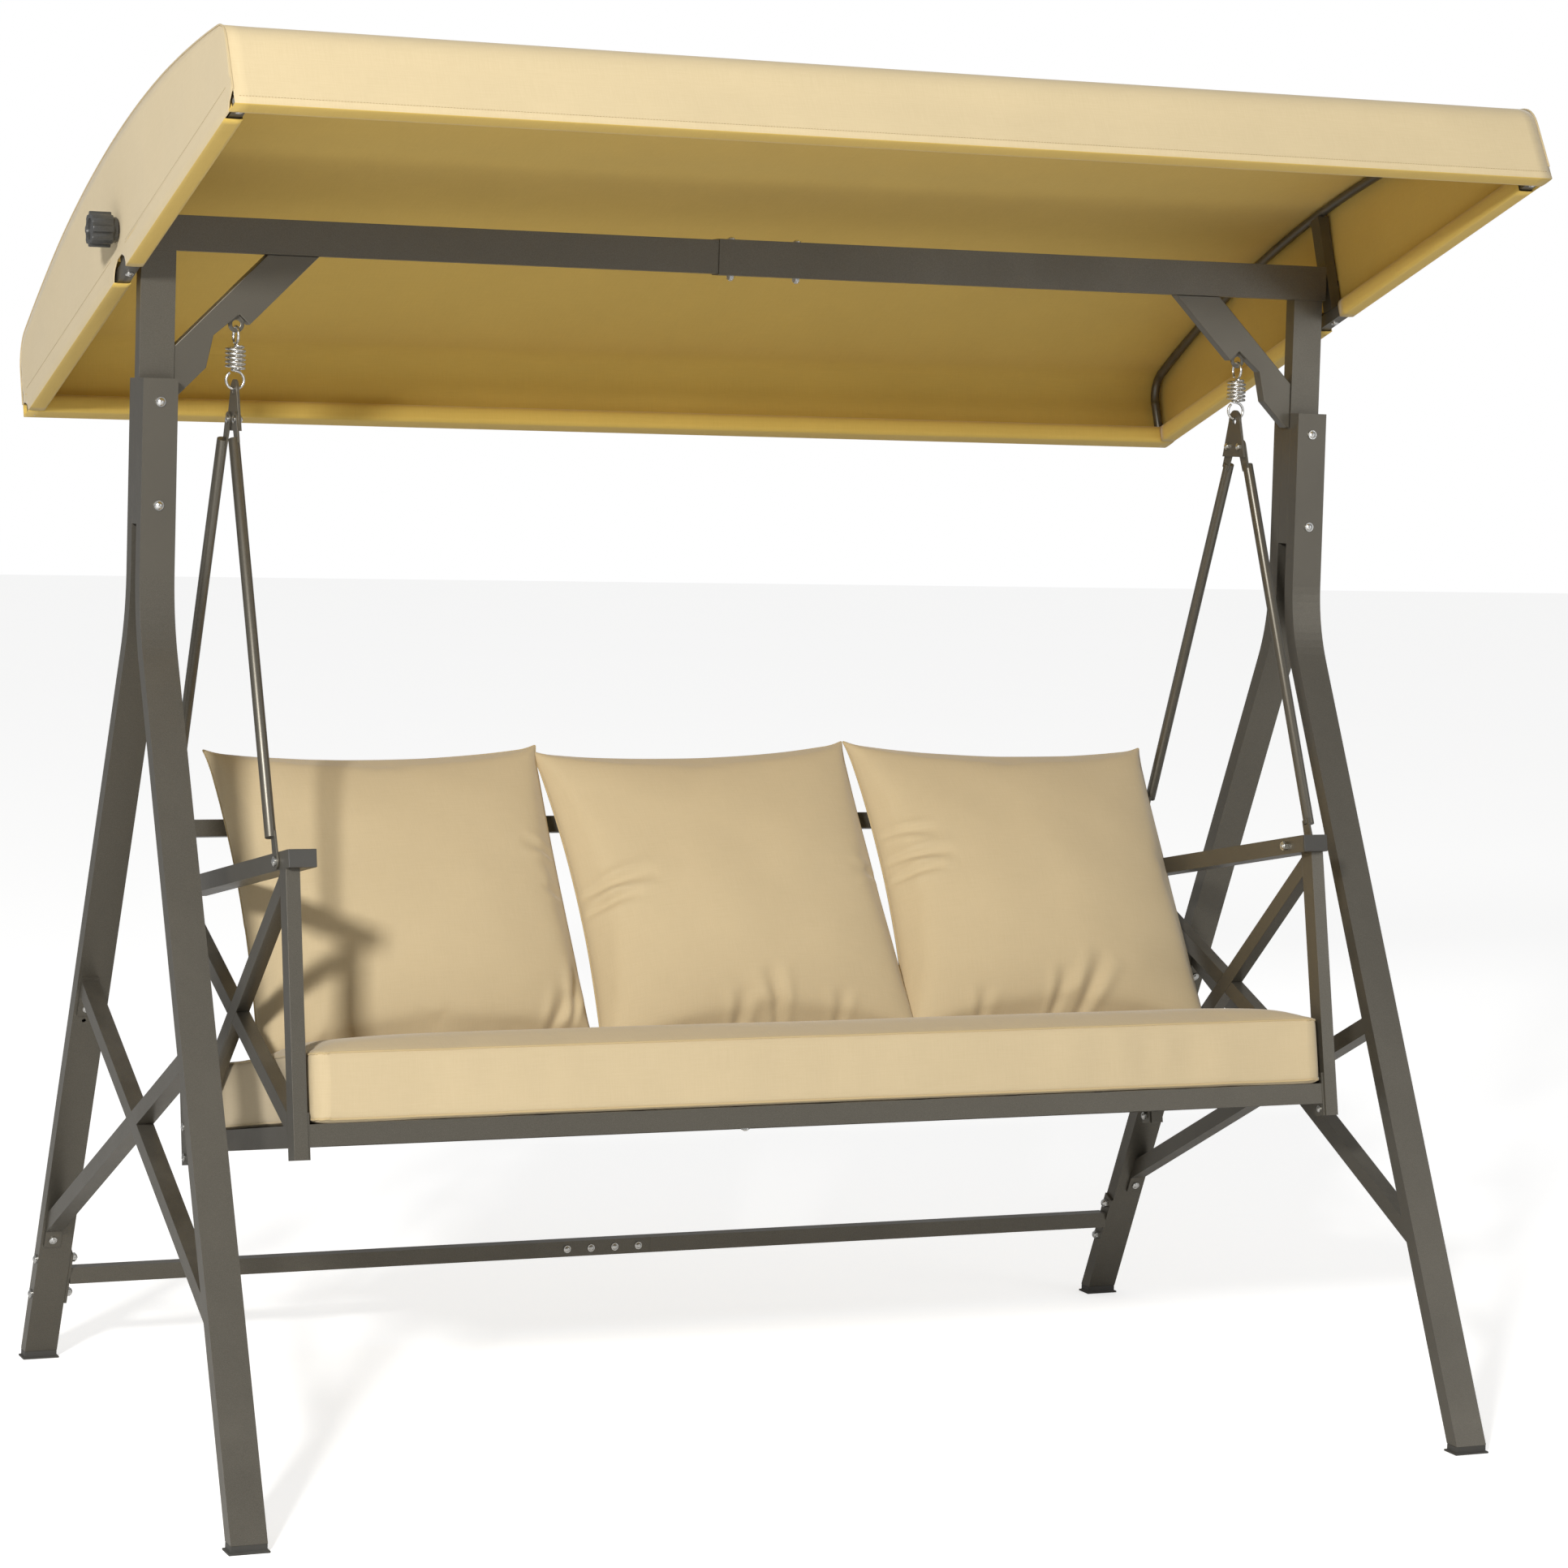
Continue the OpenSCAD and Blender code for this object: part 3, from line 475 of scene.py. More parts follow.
@dataclass(frozen=True)
class MouldedPlastic:
    """Injection-moulded plastic with a spark-eroded grain."""

    name: str
    colour: Colour
    low_rough: float
    high_rough: float
    dust: Colour = (0.32, 0.30, 0.26, 1.0)

    def build(self, effects: SharedEffects) -> bpy.types.Material:
        """Builds the material from the shared grain and dust.

        Args:
            effects: The shared shader groups.

        Returns:
            The material.
        """
        material, kit, shader = start_material(self.name)
        place = kit.add("TexCoord").outputs["Object"]
        grain = kit.add("Group", node_tree=effects.grain)
        kit.link(place, grain.inputs["Vector"])
        grain.inputs["Fineness"].default_value = 1900.0
        settled = kit.add("Group", node_tree=effects.dust)
        kit.link(place, settled.inputs["Vector"])
        settled.inputs["Amount"].default_value = 0.22
        pale = tuple(min(1.0, 1.5 * channel + 0.01) for channel in self.colour[:3]) + (1.0,)
        tone = kit.mix(kit.math("MULTIPLY", grain.outputs["Cloud"], 0.45), self.colour, pale)
        dusty = kit.mix(settled.outputs["Dust"], tone, self.dust)
        kit.link(dusty, shader.inputs["Base Color"])
        rough = kit.ramp(grain.outputs["Speckle"], 0.0, 1.0, self.low_rough, self.high_rough)
        kit.link(rough, shader.inputs["Roughness"])
        set_bump(kit, shader, grain.outputs["Height"], 0.15, 0.0003)
        return material


@dataclass(frozen=True)
class SewingThread:
    """Twisted polyester thread of the seams."""

    name: str = "seam_thread"
    colour: Colour = (0.50, 0.38, 0.19, 1.0)

    def build(self, effects: SharedEffects) -> bpy.types.Material:
        """Builds the material from the shared grain.

        Args:
            effects: The shared shader groups.

        Returns:
            The material.
        """
        material, kit, shader = start_material(self.name)
        grain = kit.add("Group", node_tree=effects.grain)
        kit.link(kit.add("TexCoord").outputs["Object"], grain.inputs["Vector"])
        grain.inputs["Fineness"].default_value = 1500.0
        dark = tuple(0.7 * channel for channel in self.colour[:3]) + (1.0,)
        kit.link(kit.mix(grain.outputs["Speckle"], self.colour, dark), shader.inputs["Base Color"])
        shader.inputs["Roughness"].default_value = 0.8
        set_bump(kit, shader, grain.outputs["Height"], 0.3, 0.0003)
        return material


class Finishes:
    """Every material of the bench, by the record's slot names and by piece."""

    def __init__(self) -> None:
        """Builds the shared groups and the materials."""
        effects = SharedEffects()
        self.paint = PowderCoat().build(effects)
        self.zinc = ZincPlate().build(effects)
        self.thread = SewingThread().build(effects)
        self.cushion = WovenCloth(
            "cushion_weave", light=(0.600, 0.487, 0.308, 1.0), dark=(0.500, 0.395, 0.228, 1.0)
        ).build(effects)
        self.canopy = WovenCloth(
            "canopy_weave", light=(0.665, 0.545, 0.335, 1.0), dark=(0.565, 0.450, 0.255, 1.0), slub=0.6
        ).build(effects)
        # The underside copy of the canopy cloth is a deeper, brighter gold: painted light shining through the
        # cloth, with painted shade under the roof.
        self.backlit_underside = WovenCloth(
            "canopy_backlit_weave",
            light=(0.700, 0.490, 0.120, 1.0), dark=(0.590, 0.405, 0.090, 1.0), slub=0.6,
        ).build(effects)
        # The seam welts are darker than their cloth: painted shade along the seams.
        self.cushion_seam_shade = WovenCloth(
            "cushion_welt_painted_shade", light=(0.560, 0.440, 0.245, 1.0), dark=(0.450, 0.340, 0.175, 1.0)
        ).build(effects)
        self.canopy_seam_shade = WovenCloth(
            "canopy_welt_painted_shade", light=(0.580, 0.465, 0.270, 1.0), dark=(0.480, 0.370, 0.200, 1.0)
        ).build(effects)
        cap = MouldedPlastic("dark_cap_plastic", (0.045, 0.043, 0.038, 1.0), 0.42, 0.6)
        knob = MouldedPlastic("knob_plastic", (0.040, 0.040, 0.038, 1.0), 0.22, 0.36)
        self.by_slot = {
            "frame_paint": self.paint,
            "zinc": self.zinc,
            "dark_plastic": cap.build(effects),
            "knob_plastic": knob.build(effects),
            "canopy_cloth": self.canopy,
            "cushion_cloth": self.cushion,
        }


# ---------------------------------------------------------------- mesh helpers


def put_object(name: str, bm: bmesh.types.BMesh, *materials: bpy.types.Material) -> bpy.types.Object:
    """Turns a bmesh into a linked, smooth-shaded object at the origin.

    Args:
        name: The object's name.
        bm: The mesh, which is freed.
        materials: The materials of its slots, in order.

    Returns:
        The new object.
    """
    mesh = bpy.data.meshes.new(name)
    bm.to_mesh(mesh)
    bm.free()
    mesh.shade_smooth()
    for material in materials:
        mesh.materials.append(material)
    obj = bpy.data.objects.new(name, mesh)
    bpy.context.scene.collection.objects.link(obj)
    return obj


def bake_modifiers(obj: bpy.types.Object) -> None:
    """Replaces an object's mesh by its evaluated mesh and clears its modifiers.

    Args:
        obj: The object, which is changed.
    """
    depsgraph = bpy.context.evaluated_depsgraph_get()
    mesh = bpy.data.meshes.new_from_object(
        obj.evaluated_get(depsgraph), preserve_all_data_layers=True, depsgraph=depsgraph
    )
    obj.modifiers.clear()
    obj.data = mesh


def read_points(mesh: bpy.types.Mesh) -> np.ndarray:
    """Reads a mesh's vertex positions.

    Args:
        mesh: The mesh.

    Returns:
        One row of x, y, z for each vertex.
    """
    points = np.empty(len(mesh.vertices) * 3, np.float32)
    mesh.vertices.foreach_get("co", points)
    return points.reshape(-1, 3).astype(float)


def write_points(mesh: bpy.types.Mesh, points: np.ndarray) -> None:
    """Moves the mesh's vertices to the given positions."""
    mesh.vertices.foreach_set("co", points.astype(np.float32).ravel())
    mesh.update()


def subdivide(obj: bpy.types.Object, levels: int) -> None:
    """Applies a Subdivision Surface.

    Args:
        obj: The object, which is changed.
        levels: The number of subdivisions.
    """
    modifier = obj.modifiers.new("smooth", "SUBSURF")
    modifier.levels = levels
    modifier.render_levels = levels
    bake_modifiers(obj)


def inflate(obj: bpy.types.Object, pressure: float, frames: int, stiffness: float, cap: float) -> None:
    """Swells a closed mesh by cloth simulation under inner pressure, without gravity.

    Args:
        obj: The closed mesh.
        pressure: The inner pressure.
        frames: The number of frames to run.
        stiffness: The cloth's tension and compression stiffness.
        cap: How far a point may move, in metres.
    """
    start = read_points(obj.data)
    modifier = obj.modifiers.new("swell", "CLOTH")
    settings = modifier.settings
    settings.quality = 5
    settings.mass = 0.25
    settings.tension_stiffness = stiffness
    settings.compression_stiffness = stiffness
    settings.shear_stiffness = stiffness / 3
    settings.bending_stiffness = 0.3
    settings.use_pressure = True
    settings.uniform_pressure_force = pressure
    settings.effector_weights.gravity = 0
    modifier.point_cache.frame_start = 1
    modifier.point_cache.frame_end = frames
    for number in range(1, frames + 1):
        bpy.context.scene.frame_set(number)
    bake_modifiers(obj)
    bpy.context.scene.frame_set(1)
    moved = read_points(obj.data) - start
    length = np.linalg.norm(moved, axis=1)
    share = np.minimum(1.0, cap * np.tanh(length / cap) / np.maximum(length, 1e-9))
    write_points(obj.data, start + moved * share[:, None])


def seam_loops(mesh: bpy.types.Mesh) -> list[list[Vector]]:
    """Walks the edges marked as seams into closed or open runs of points.

    Args:
        mesh: The mesh whose edges carry seam marks.

    Returns:
        One list of points for each run, in order along it.
    """
    ends: dict[int, list[int]] = {}
    for edge in mesh.edges:
        if edge.use_seam:
            a, b = edge.vertices
            ends.setdefault(a, []).append(b)
            ends.setdefault(b, []).append(a)
    runs, seen = [], set()
    open_first = sorted((len(joined) == 2, index) for index, joined in ends.items())
    for _, first in open_first:
        if first in seen:
            continue
        run, here = [first], first
        seen.add(first)
        while True:
            following = [index for index in ends[here] if index not in seen]
            if not following:
                break
            here = following[0]
            seen.add(here)
            run.append(here)
        if first in ends[here] and len(run) > 2:
            run.append(first)
        runs.append([mesh.vertices[index].co.copy() for index in run])
    return runs


def tube_along(
    name: str, runs: list[list[Vector]], radius: float, material: bpy.types.Material, sides: int = 2
) -> bpy.types.Object:
    """Makes round tubes along runs of points, as one mesh.

    Args:
        name: The object's name.
        runs: The centre lines; a run whose last point is its first is closed.
        radius: The tubes' radius.
        material: Their material.
        sides: The curve's bevel resolution.

    Returns:
        The new mesh object.
    """
    curve = bpy.data.curves.new(name + "_line", "CURVE")
    curve.dimensions = "3D"
    curve.bevel_depth = radius
    curve.bevel_resolution = sides
    curve.use_fill_caps = True
    for run in runs:
        closed = len(run) > 3 and (run[0] - run[-1]).length < 1e-7
        points = run[:-1] if closed else run
        spline = curve.splines.new("POLY")
        spline.points.add(len(points) - 1)
        for target, point in zip(spline.points, points):
            target.co = (*point, 1.0)
        spline.use_cyclic_u = closed
    holder = bpy.data.objects.new(name + "_line", curve)
    bpy.context.scene.collection.objects.link(holder)
    depsgraph = bpy.context.evaluated_depsgraph_get()
    mesh = bpy.data.meshes.new_from_object(holder.evaluated_get(depsgraph))
    bpy.data.objects.remove(holder)
    bpy.data.curves.remove(curve)
    mesh.materials.clear()
    mesh.materials.append(material)
    mesh.shade_smooth()
    obj = bpy.data.objects.new(name, mesh)
    bpy.context.scene.collection.objects.link(obj)
    return obj


def resample(points: list[Vector], step: float) -> list[Vector]:
    """Spaces points evenly along a run.

    Args:
        points: The run.
        step: About how far apart the new points are.

    Returns:
        The evenly spaced points, with the run's ends kept.
    """
    lengths = [0.0]
    for a, b in zip(points, points[1:]):
        lengths.append(lengths[-1] + (b - a).length)
    count = max(2, round(lengths[-1] / step))
    made, index = [], 0
    for number in range(count + 1):
        at = lengths[-1] * number / count
        while index < len(points) - 2 and lengths[index + 1] < at:
            index += 1
        span = max(lengths[index + 1] - lengths[index], 1e-9)
        made.append(points[index].lerp(points[index + 1], (at - lengths[index]) / span))
    return made


def stitch_row(
    name: str, runs: list[list[Vector]], material: bpy.types.Material, pitch: float = 0.0042,
    thick: float = 0.0007,
) -> bpy.types.Object:
    """Lays short thread stitches along runs of points, as one mesh.

    Args:
        name: The object's name.
        runs: The lines that the stitches follow.
        material: The thread.
        pitch: The distance from stitch to stitch.
        thick: The thread's thickness.

    Returns:
        The new mesh object.
    """
    bm = bmesh.new()
    seen_share = 0.74
    for run in runs:
        points = resample(run, pitch)
        for a, b in zip(points, points[1:]):
            along = b - a
            turn = along.to_track_quat("X", "Z").to_matrix().to_4x4()
            scale = Matrix.Diagonal((along.length * seen_share, thick, thick, 1.0))
            place = Matrix.Translation((a + b) / 2) @ turn @ scale
            bmesh.ops.create_icosphere(bm, subdivisions=1, radius=0.5, matrix=place)
    return put_object(name, bm, material)


# ---------------------------------------------------------------- stage


@dataclass
class Studio:
    """Camera, soft lights and a plain pale floor."""

    eye: tuple[float, float, float] = (-2.429, -5.799, 1.481)
    yaw: float = 23.10
    pitch: float = -3.244
    roll: float = 1.621
    lens: float = 96.5
    shift: tuple[float, float] = (0.0023, -0.0778)
    floor_size: float = 60.0

    def camera(self) -> None:
        """Places the camera where the bench is seen from."""
        yaw, pitch, roll = (math.radians(angle) for angle in (self.yaw, self.pitch, self.roll))
        ahead = Vector((math.sin(yaw) * math.cos(pitch), math.cos(yaw) * math.cos(pitch), math.sin(pitch)))
        level = Vector((math.cos(yaw), -math.sin(yaw), 0.0))
        upright = level.cross(ahead)
        right = level * math.cos(roll) + upright * math.sin(roll)
        above = upright * math.cos(roll) - level * math.sin(roll)
        data = bpy.data.cameras.new("camera")
        data.lens = self.lens
        data.shift_x, data.shift_y = self.shift
        data.clip_end = 200.0
        obj = bpy.data.objects.new("camera", data)
        turn = Matrix((right, above, -ahead)).transposed().to_4x4()
        obj.matrix_world = Matrix.Translation(self.eye) @ turn
        bpy.context.scene.collection.objects.link(obj)
        bpy.context.scene.camera = obj

    @staticmethod
    def _softbox(
        name: str, place: tuple[float, float, float], size: float, power: float,
        colour: tuple[float, float, float],
    ) -> None:
        """Adds a square area light that faces the middle of the bench.

        Args:
            name: The light's name.
            place: Where it stands.
            size: The length of its side.
            power: Its power in watts.
            colour: Its colour.
        """
        data = bpy.data.lights.new(name, "AREA")
        data.size = size
        data.energy = power
        data.color = colour
        obj = bpy.data.objects.new(name, data)
        towards = Vector((0.0, 0.0, 0.9)) - Vector(place)
        obj.matrix_world = Matrix.Translation(place) @ towards.to_track_quat("-Z", "Y").to_matrix().to_4x4()
        bpy.context.scene.collection.objects.link(obj)

    def lights(self) -> None:
        """Adds the key from the front left, a fill and an even surround."""
        self._softbox("key", (-4.6, -6.4, 3.9), 0.7, 600.0, (1.0, 0.985, 0.96))
        self._softbox("fill", (4.5, -5.0, 2.6), 3.0, 35.0, (1.0, 1.0, 1.0))
        world = bpy.data.worlds.new("surround")
        world.use_nodes = True
        backdrop = world.node_tree.nodes["Background"]
        backdrop.inputs["Color"].default_value = (1.0, 1.0, 1.0, 1.0)
        kit = NodeTree(world.node_tree)
        seen = kit.add("LightPath").outputs["Is Camera Ray"]
        kit.link(kit.ramp(seen, 0.0, 1.0, 0.32, 1.0), backdrop.inputs["Strength"])
        bpy.context.scene.world = world
        bpy.context.scene.view_settings.view_transform = "Standard"

    def floor(self) -> None:
        """Lays the floor."""
        bm = bmesh.new()
        bmesh.ops.create_grid(bm, x_segments=1, y_segments=1, size=self.floor_size / 2)
        material, kit, shader = start_material("pale_floor")
        place = kit.add("TexCoord").outputs["Object"]
        tone = kit.mix(kit.noise(place, 0.6, 2.0), (0.90, 0.90, 0.895, 1.0), (0.92, 0.92, 0.915, 1.0))
        kit.link(tone, shader.inputs["Base Color"])
        shader.inputs["Roughness"].default_value = 0.9
        shader.inputs["Emission Color"].default_value = (1.0, 1.0, 1.0, 1.0)
        seen = kit.add("LightPath").outputs["Is Camera Ray"]
        kit.link(kit.math("MULTIPLY", seen, 0.62), shader.inputs["Emission Strength"])
        put_object("floor", bm, material)


# ---------------------------------------------------------------- frame finish


def edge_radii() -> dict[str, float]:
    """Returns the radius of the softened edges for each material slot that has them."""
    return {"frame_paint": 0.0016, "dark_plastic": 0.0008, "knob_plastic": 0.0016}


@dataclass
class FrameDressing:
    """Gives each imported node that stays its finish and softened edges."""

    finishes: Finishes
    edge_radius: dict[str, float] = field(default_factory=edge_radii)

    def dress(self) -> None:
        """Dresses every node by the slot that the record gives it."""
        for row in frame["record"]["subparts"]:
            obj, slot = frame["nodes"][row["node"]], row["material_slot"]
            obj.data.materials.clear()
            obj.data.materials.append(self.finishes.by_slot[slot])
            if slot in self.edge_radius and not obj.hide_render:
                self._round_edges(obj, self.edge_radius[slot])
            LOG.info("node %s: %s", row["node"], slot)

    @staticmethod
    def _round_edges(obj: bpy.types.Object, radius: float) -> None:
        """Welds the loose triangles, merges flat ones and rounds the sharp edges.

        Args:
            obj: The node's object, which keeps the modifiers.
            radius: The width of the rounding.
        """
        weld = obj.modifiers.new("weld", "WELD")
        weld.merge_threshold = 0.00002
        flat = obj.modifiers.new("flat", "DECIMATE")
        flat.decimate_type = "DISSOLVE"
        flat.angle_limit = math.radians(0.5)
        edge = obj.modifiers.new("edge", "BEVEL")
        edge.width = radius
        edge.segments = 2
        edge.limit_method = "ANGLE"
        edge.angle_limit = math.radians(50)
        edge.harden_normals = False


# ---------------------------------------------------------------- seat placing


@dataclass
class SeatPlane:
    """The tilted plane of the hanging seat: x across, u to the rear, v square to the seat."""

    tilt: float = math.radians(10.5)

    def to_world(self, points: np.ndarray, centre: Vector, lean: float = 0.0) -> np.ndarray:
        """Turns local points about X by the seat's tilt and a lean, and moves them to a centre.

        Args:
            points: Rows of local x, u, v about the piece's centre.
            centre: The piece's centre in the row frame.
            lean: A further backward turn in radians.

        Returns:
            Rows in the row frame.
        """
        angle = -(self.tilt + lean)
        c, s = math.cos(angle), math.sin(angle)
        turn = np.array([[1, 0, 0], [0, c, -s], [0, s, c]])
        return points @ turn.T + np.array(centre)


def centre_of(node: str) -> Vector:
    """Finds the middle of a node's box.

    Args:
        node: The node's name.

    Returns:
        The point.
    """
    low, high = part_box(node)
    return (low + high) / 2


# ---------------------------------------------------------------- seat cushion


@dataclass
class SeatCushion:
    """The long boxed cushion: a crowned top, a border all round and a seam at each edge."""

    finishes: Finishes
    plane: SeatPlane
    depth: float = 0.542
    thickness: float = 0.100
    inset: float = 0.006
    spread: float = 0.006
    overhang: float = 0.013
    seam_inset: float = 0.003
    corner: float = 0.026
    cell: float = 0.0135
    crown: float = 0.012
    pressed: float = 0.014
    top_swell: float = 0.020
    seat_dip: float = 0.004

    def _panels(self, width: float) -> bmesh.types.BMesh:
        """Builds the flat-sided box with rounded corners, cut into cells, with its seams marked.

        Args:
            width: The cushion's full width.

        Returns:
            The box.
        """
        bm = bmesh.new()
        sizes = (width - 2 * self.inset, self.depth - 2 * self.inset, self.thickness - 2 * self.inset)
        bmesh.ops.create_cube(bm, size=1.0, matrix=Matrix.Diagonal((*sizes, 1.0)))
        upright = [e for e in bm.edges if abs(e.verts[0].co.z - e.verts[1].co.z) > 0.01]
        bmesh.ops.bevel(
            bm, geom=upright, offset=self.corner, segments=5, profile=0.5, affect="EDGES", material=-1
        )
        for axis in range(3):
            count = round(sizes[axis] / self.cell)
            for number in range(1, count):
                point, normal = Vector(), Vector()
                point[axis] = sizes[axis] * (number / count - 0.5)
                normal[axis] = 1.0
                geom = bm.verts[:] + bm.edges[:] + bm.faces[:]
                bmesh.ops.bisect_plane(bm, geom=geom, plane_co=point, plane_no=normal, dist=1e-6)
        bm.normal_update()
        for edge in bm.edges:
            steep = [abs(f.normal.z) for f in edge.link_faces]
            edge.seam = len(steep) == 2 and max(steep) > 0.9 and min(steep) < 0.1
        layer = bm.loops.layers.uv.new(CLOTH_UV)
        for face in bm.faces:
            n = face.normal
            for loop in face.loops:
                x, y, z = loop.vert.co
                if abs(n.z) > 0.5:
                    loop[layer].uv = (x, y)
                elif abs(n.y) > 0.5:
                    loop[layer].uv = (x, z + 2)
                else:
                    loop[layer].uv = (y + 4, z)
        return bm

    def _fit(self, points: np.ndarray, width: float) -> np.ndarray:
        """Sizes the swollen cushion to the seat, with its front a little over the rail.

        Args:
            points: Rows of x, u, v.
            width: The cushion's full width.

        Returns:
            The fitted rows.
        """
        goals = (width / 2 + self.spread, (self.depth + self.overhang) / 2)
        low, high = points.min(axis=0)[:2], points.max(axis=0)[:2]
        flat = (points[:, :2] - (low + high) / 2) * (np.array(goals) / ((high - low) / 2))
        flat[:, 1] -= self.overhang / 2
        edge = self.thickness / 2 - self.inset
        tall = points[:, 2] * (self.thickness / 2 - self.seam_inset) / edge
        return np.column_stack((flat, tall))

    def _crown_and_ripple(self, points: np.ndarray, width: float) -> np.ndarray:
        """Crowns the top, rests the bottom flat and ripples the border as sewn cloth does.

        Args:
            points: Rows of x, u, v.
            width: The cushion's full width.

        Returns:
            The shaped rows.
        """
        half_w, half_d, half_t = width / 2, self.depth / 2, self.thickness / 2
        x, u, v = points.T
        inner = np.clip(1 - (np.abs(x) / half_w) ** 8, 0, 1) * np.clip(1 - (np.abs(u) / half_d) ** 5, 0, 1)
        share = np.clip((u + 0.045) / 0.10, 0, 1)
        sat_on = share * share * (3 - 2 * share)
        swell = self.crown * (1 - sat_on) - self.pressed * sat_on
        v = np.where(v > 0, v + swell * inner * np.clip(v / half_t, 0, 1), v)
        high = np.clip(v / half_t, 0, 1)
        broad = np.sin(x * 23 + 1.1 * np.sin(x * 9))
        fine = np.sin(x * 61 + 2.0 * np.sin(x * 13))
        waves = 0.55 * broad + 0.45 * fine
        worn = 0.35 + 0.65 * np.clip((x - 0.25) / 0.4, 0, 1)
        front = np.clip((-u - half_d * 0.93) / (half_d * 0.07), 0, 1)
        between = np.clip(1 - (2 * v / self.thickness) ** 2, 0, 1)
        u = u - front * between * 0.0026 * worn * waves
        dips = np.array([noise.noise(Vector((a * 3.1, b * 4.3, 0.3))) for a, b in zip(x, u)])
        v = v + high * 0.004 * dips * inner
        v = np.minimum(v, half_t + self.top_swell * (1 - sat_on) - self.seat_dip * sat_on)
        v = np.maximum(v, -half_t)
        return np.column_stack((x, u, v))

    def build(self) -> bpy.types.Object:
        """Builds, swells and places the cushion and its seams.

        Returns:
            The cushion.
        """
        low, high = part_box("seat_cushion")
        width = high.x - low.x
        obj = put_object("seat_cushion_soft", self._panels(width), self.finishes.cushion)
        inflate(obj, 4.0, 14, 20.0, 0.014)
        subdivide(obj, 1)
        points = self._fit(read_points(obj.data), width)
        points = self._crown_and_ripple(points, width)
        write_points(obj.data, self.plane.to_world(points, centre_of("seat_cushion")))
        loops = seam_loops(obj.data)
        seams = tube_along("seat_cushion_seams", loops, 0.0016, self.finishes.cushion_seam_shade, 1)
        for piece in (obj, seams):
            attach(piece, "seat")
        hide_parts("seat_cushion")
        LOG.info("seat cushion: %d faces", len(obj.data.polygons))
        return obj


# ---------------------------------------------------------------- pillows


@dataclass(frozen=True)
class Crease:
    """A fold that runs in from an edge, in shares of the pillow's half width and height."""

    across: float
    up: float
    angle: float
    length: float
    width: float
    depth: float


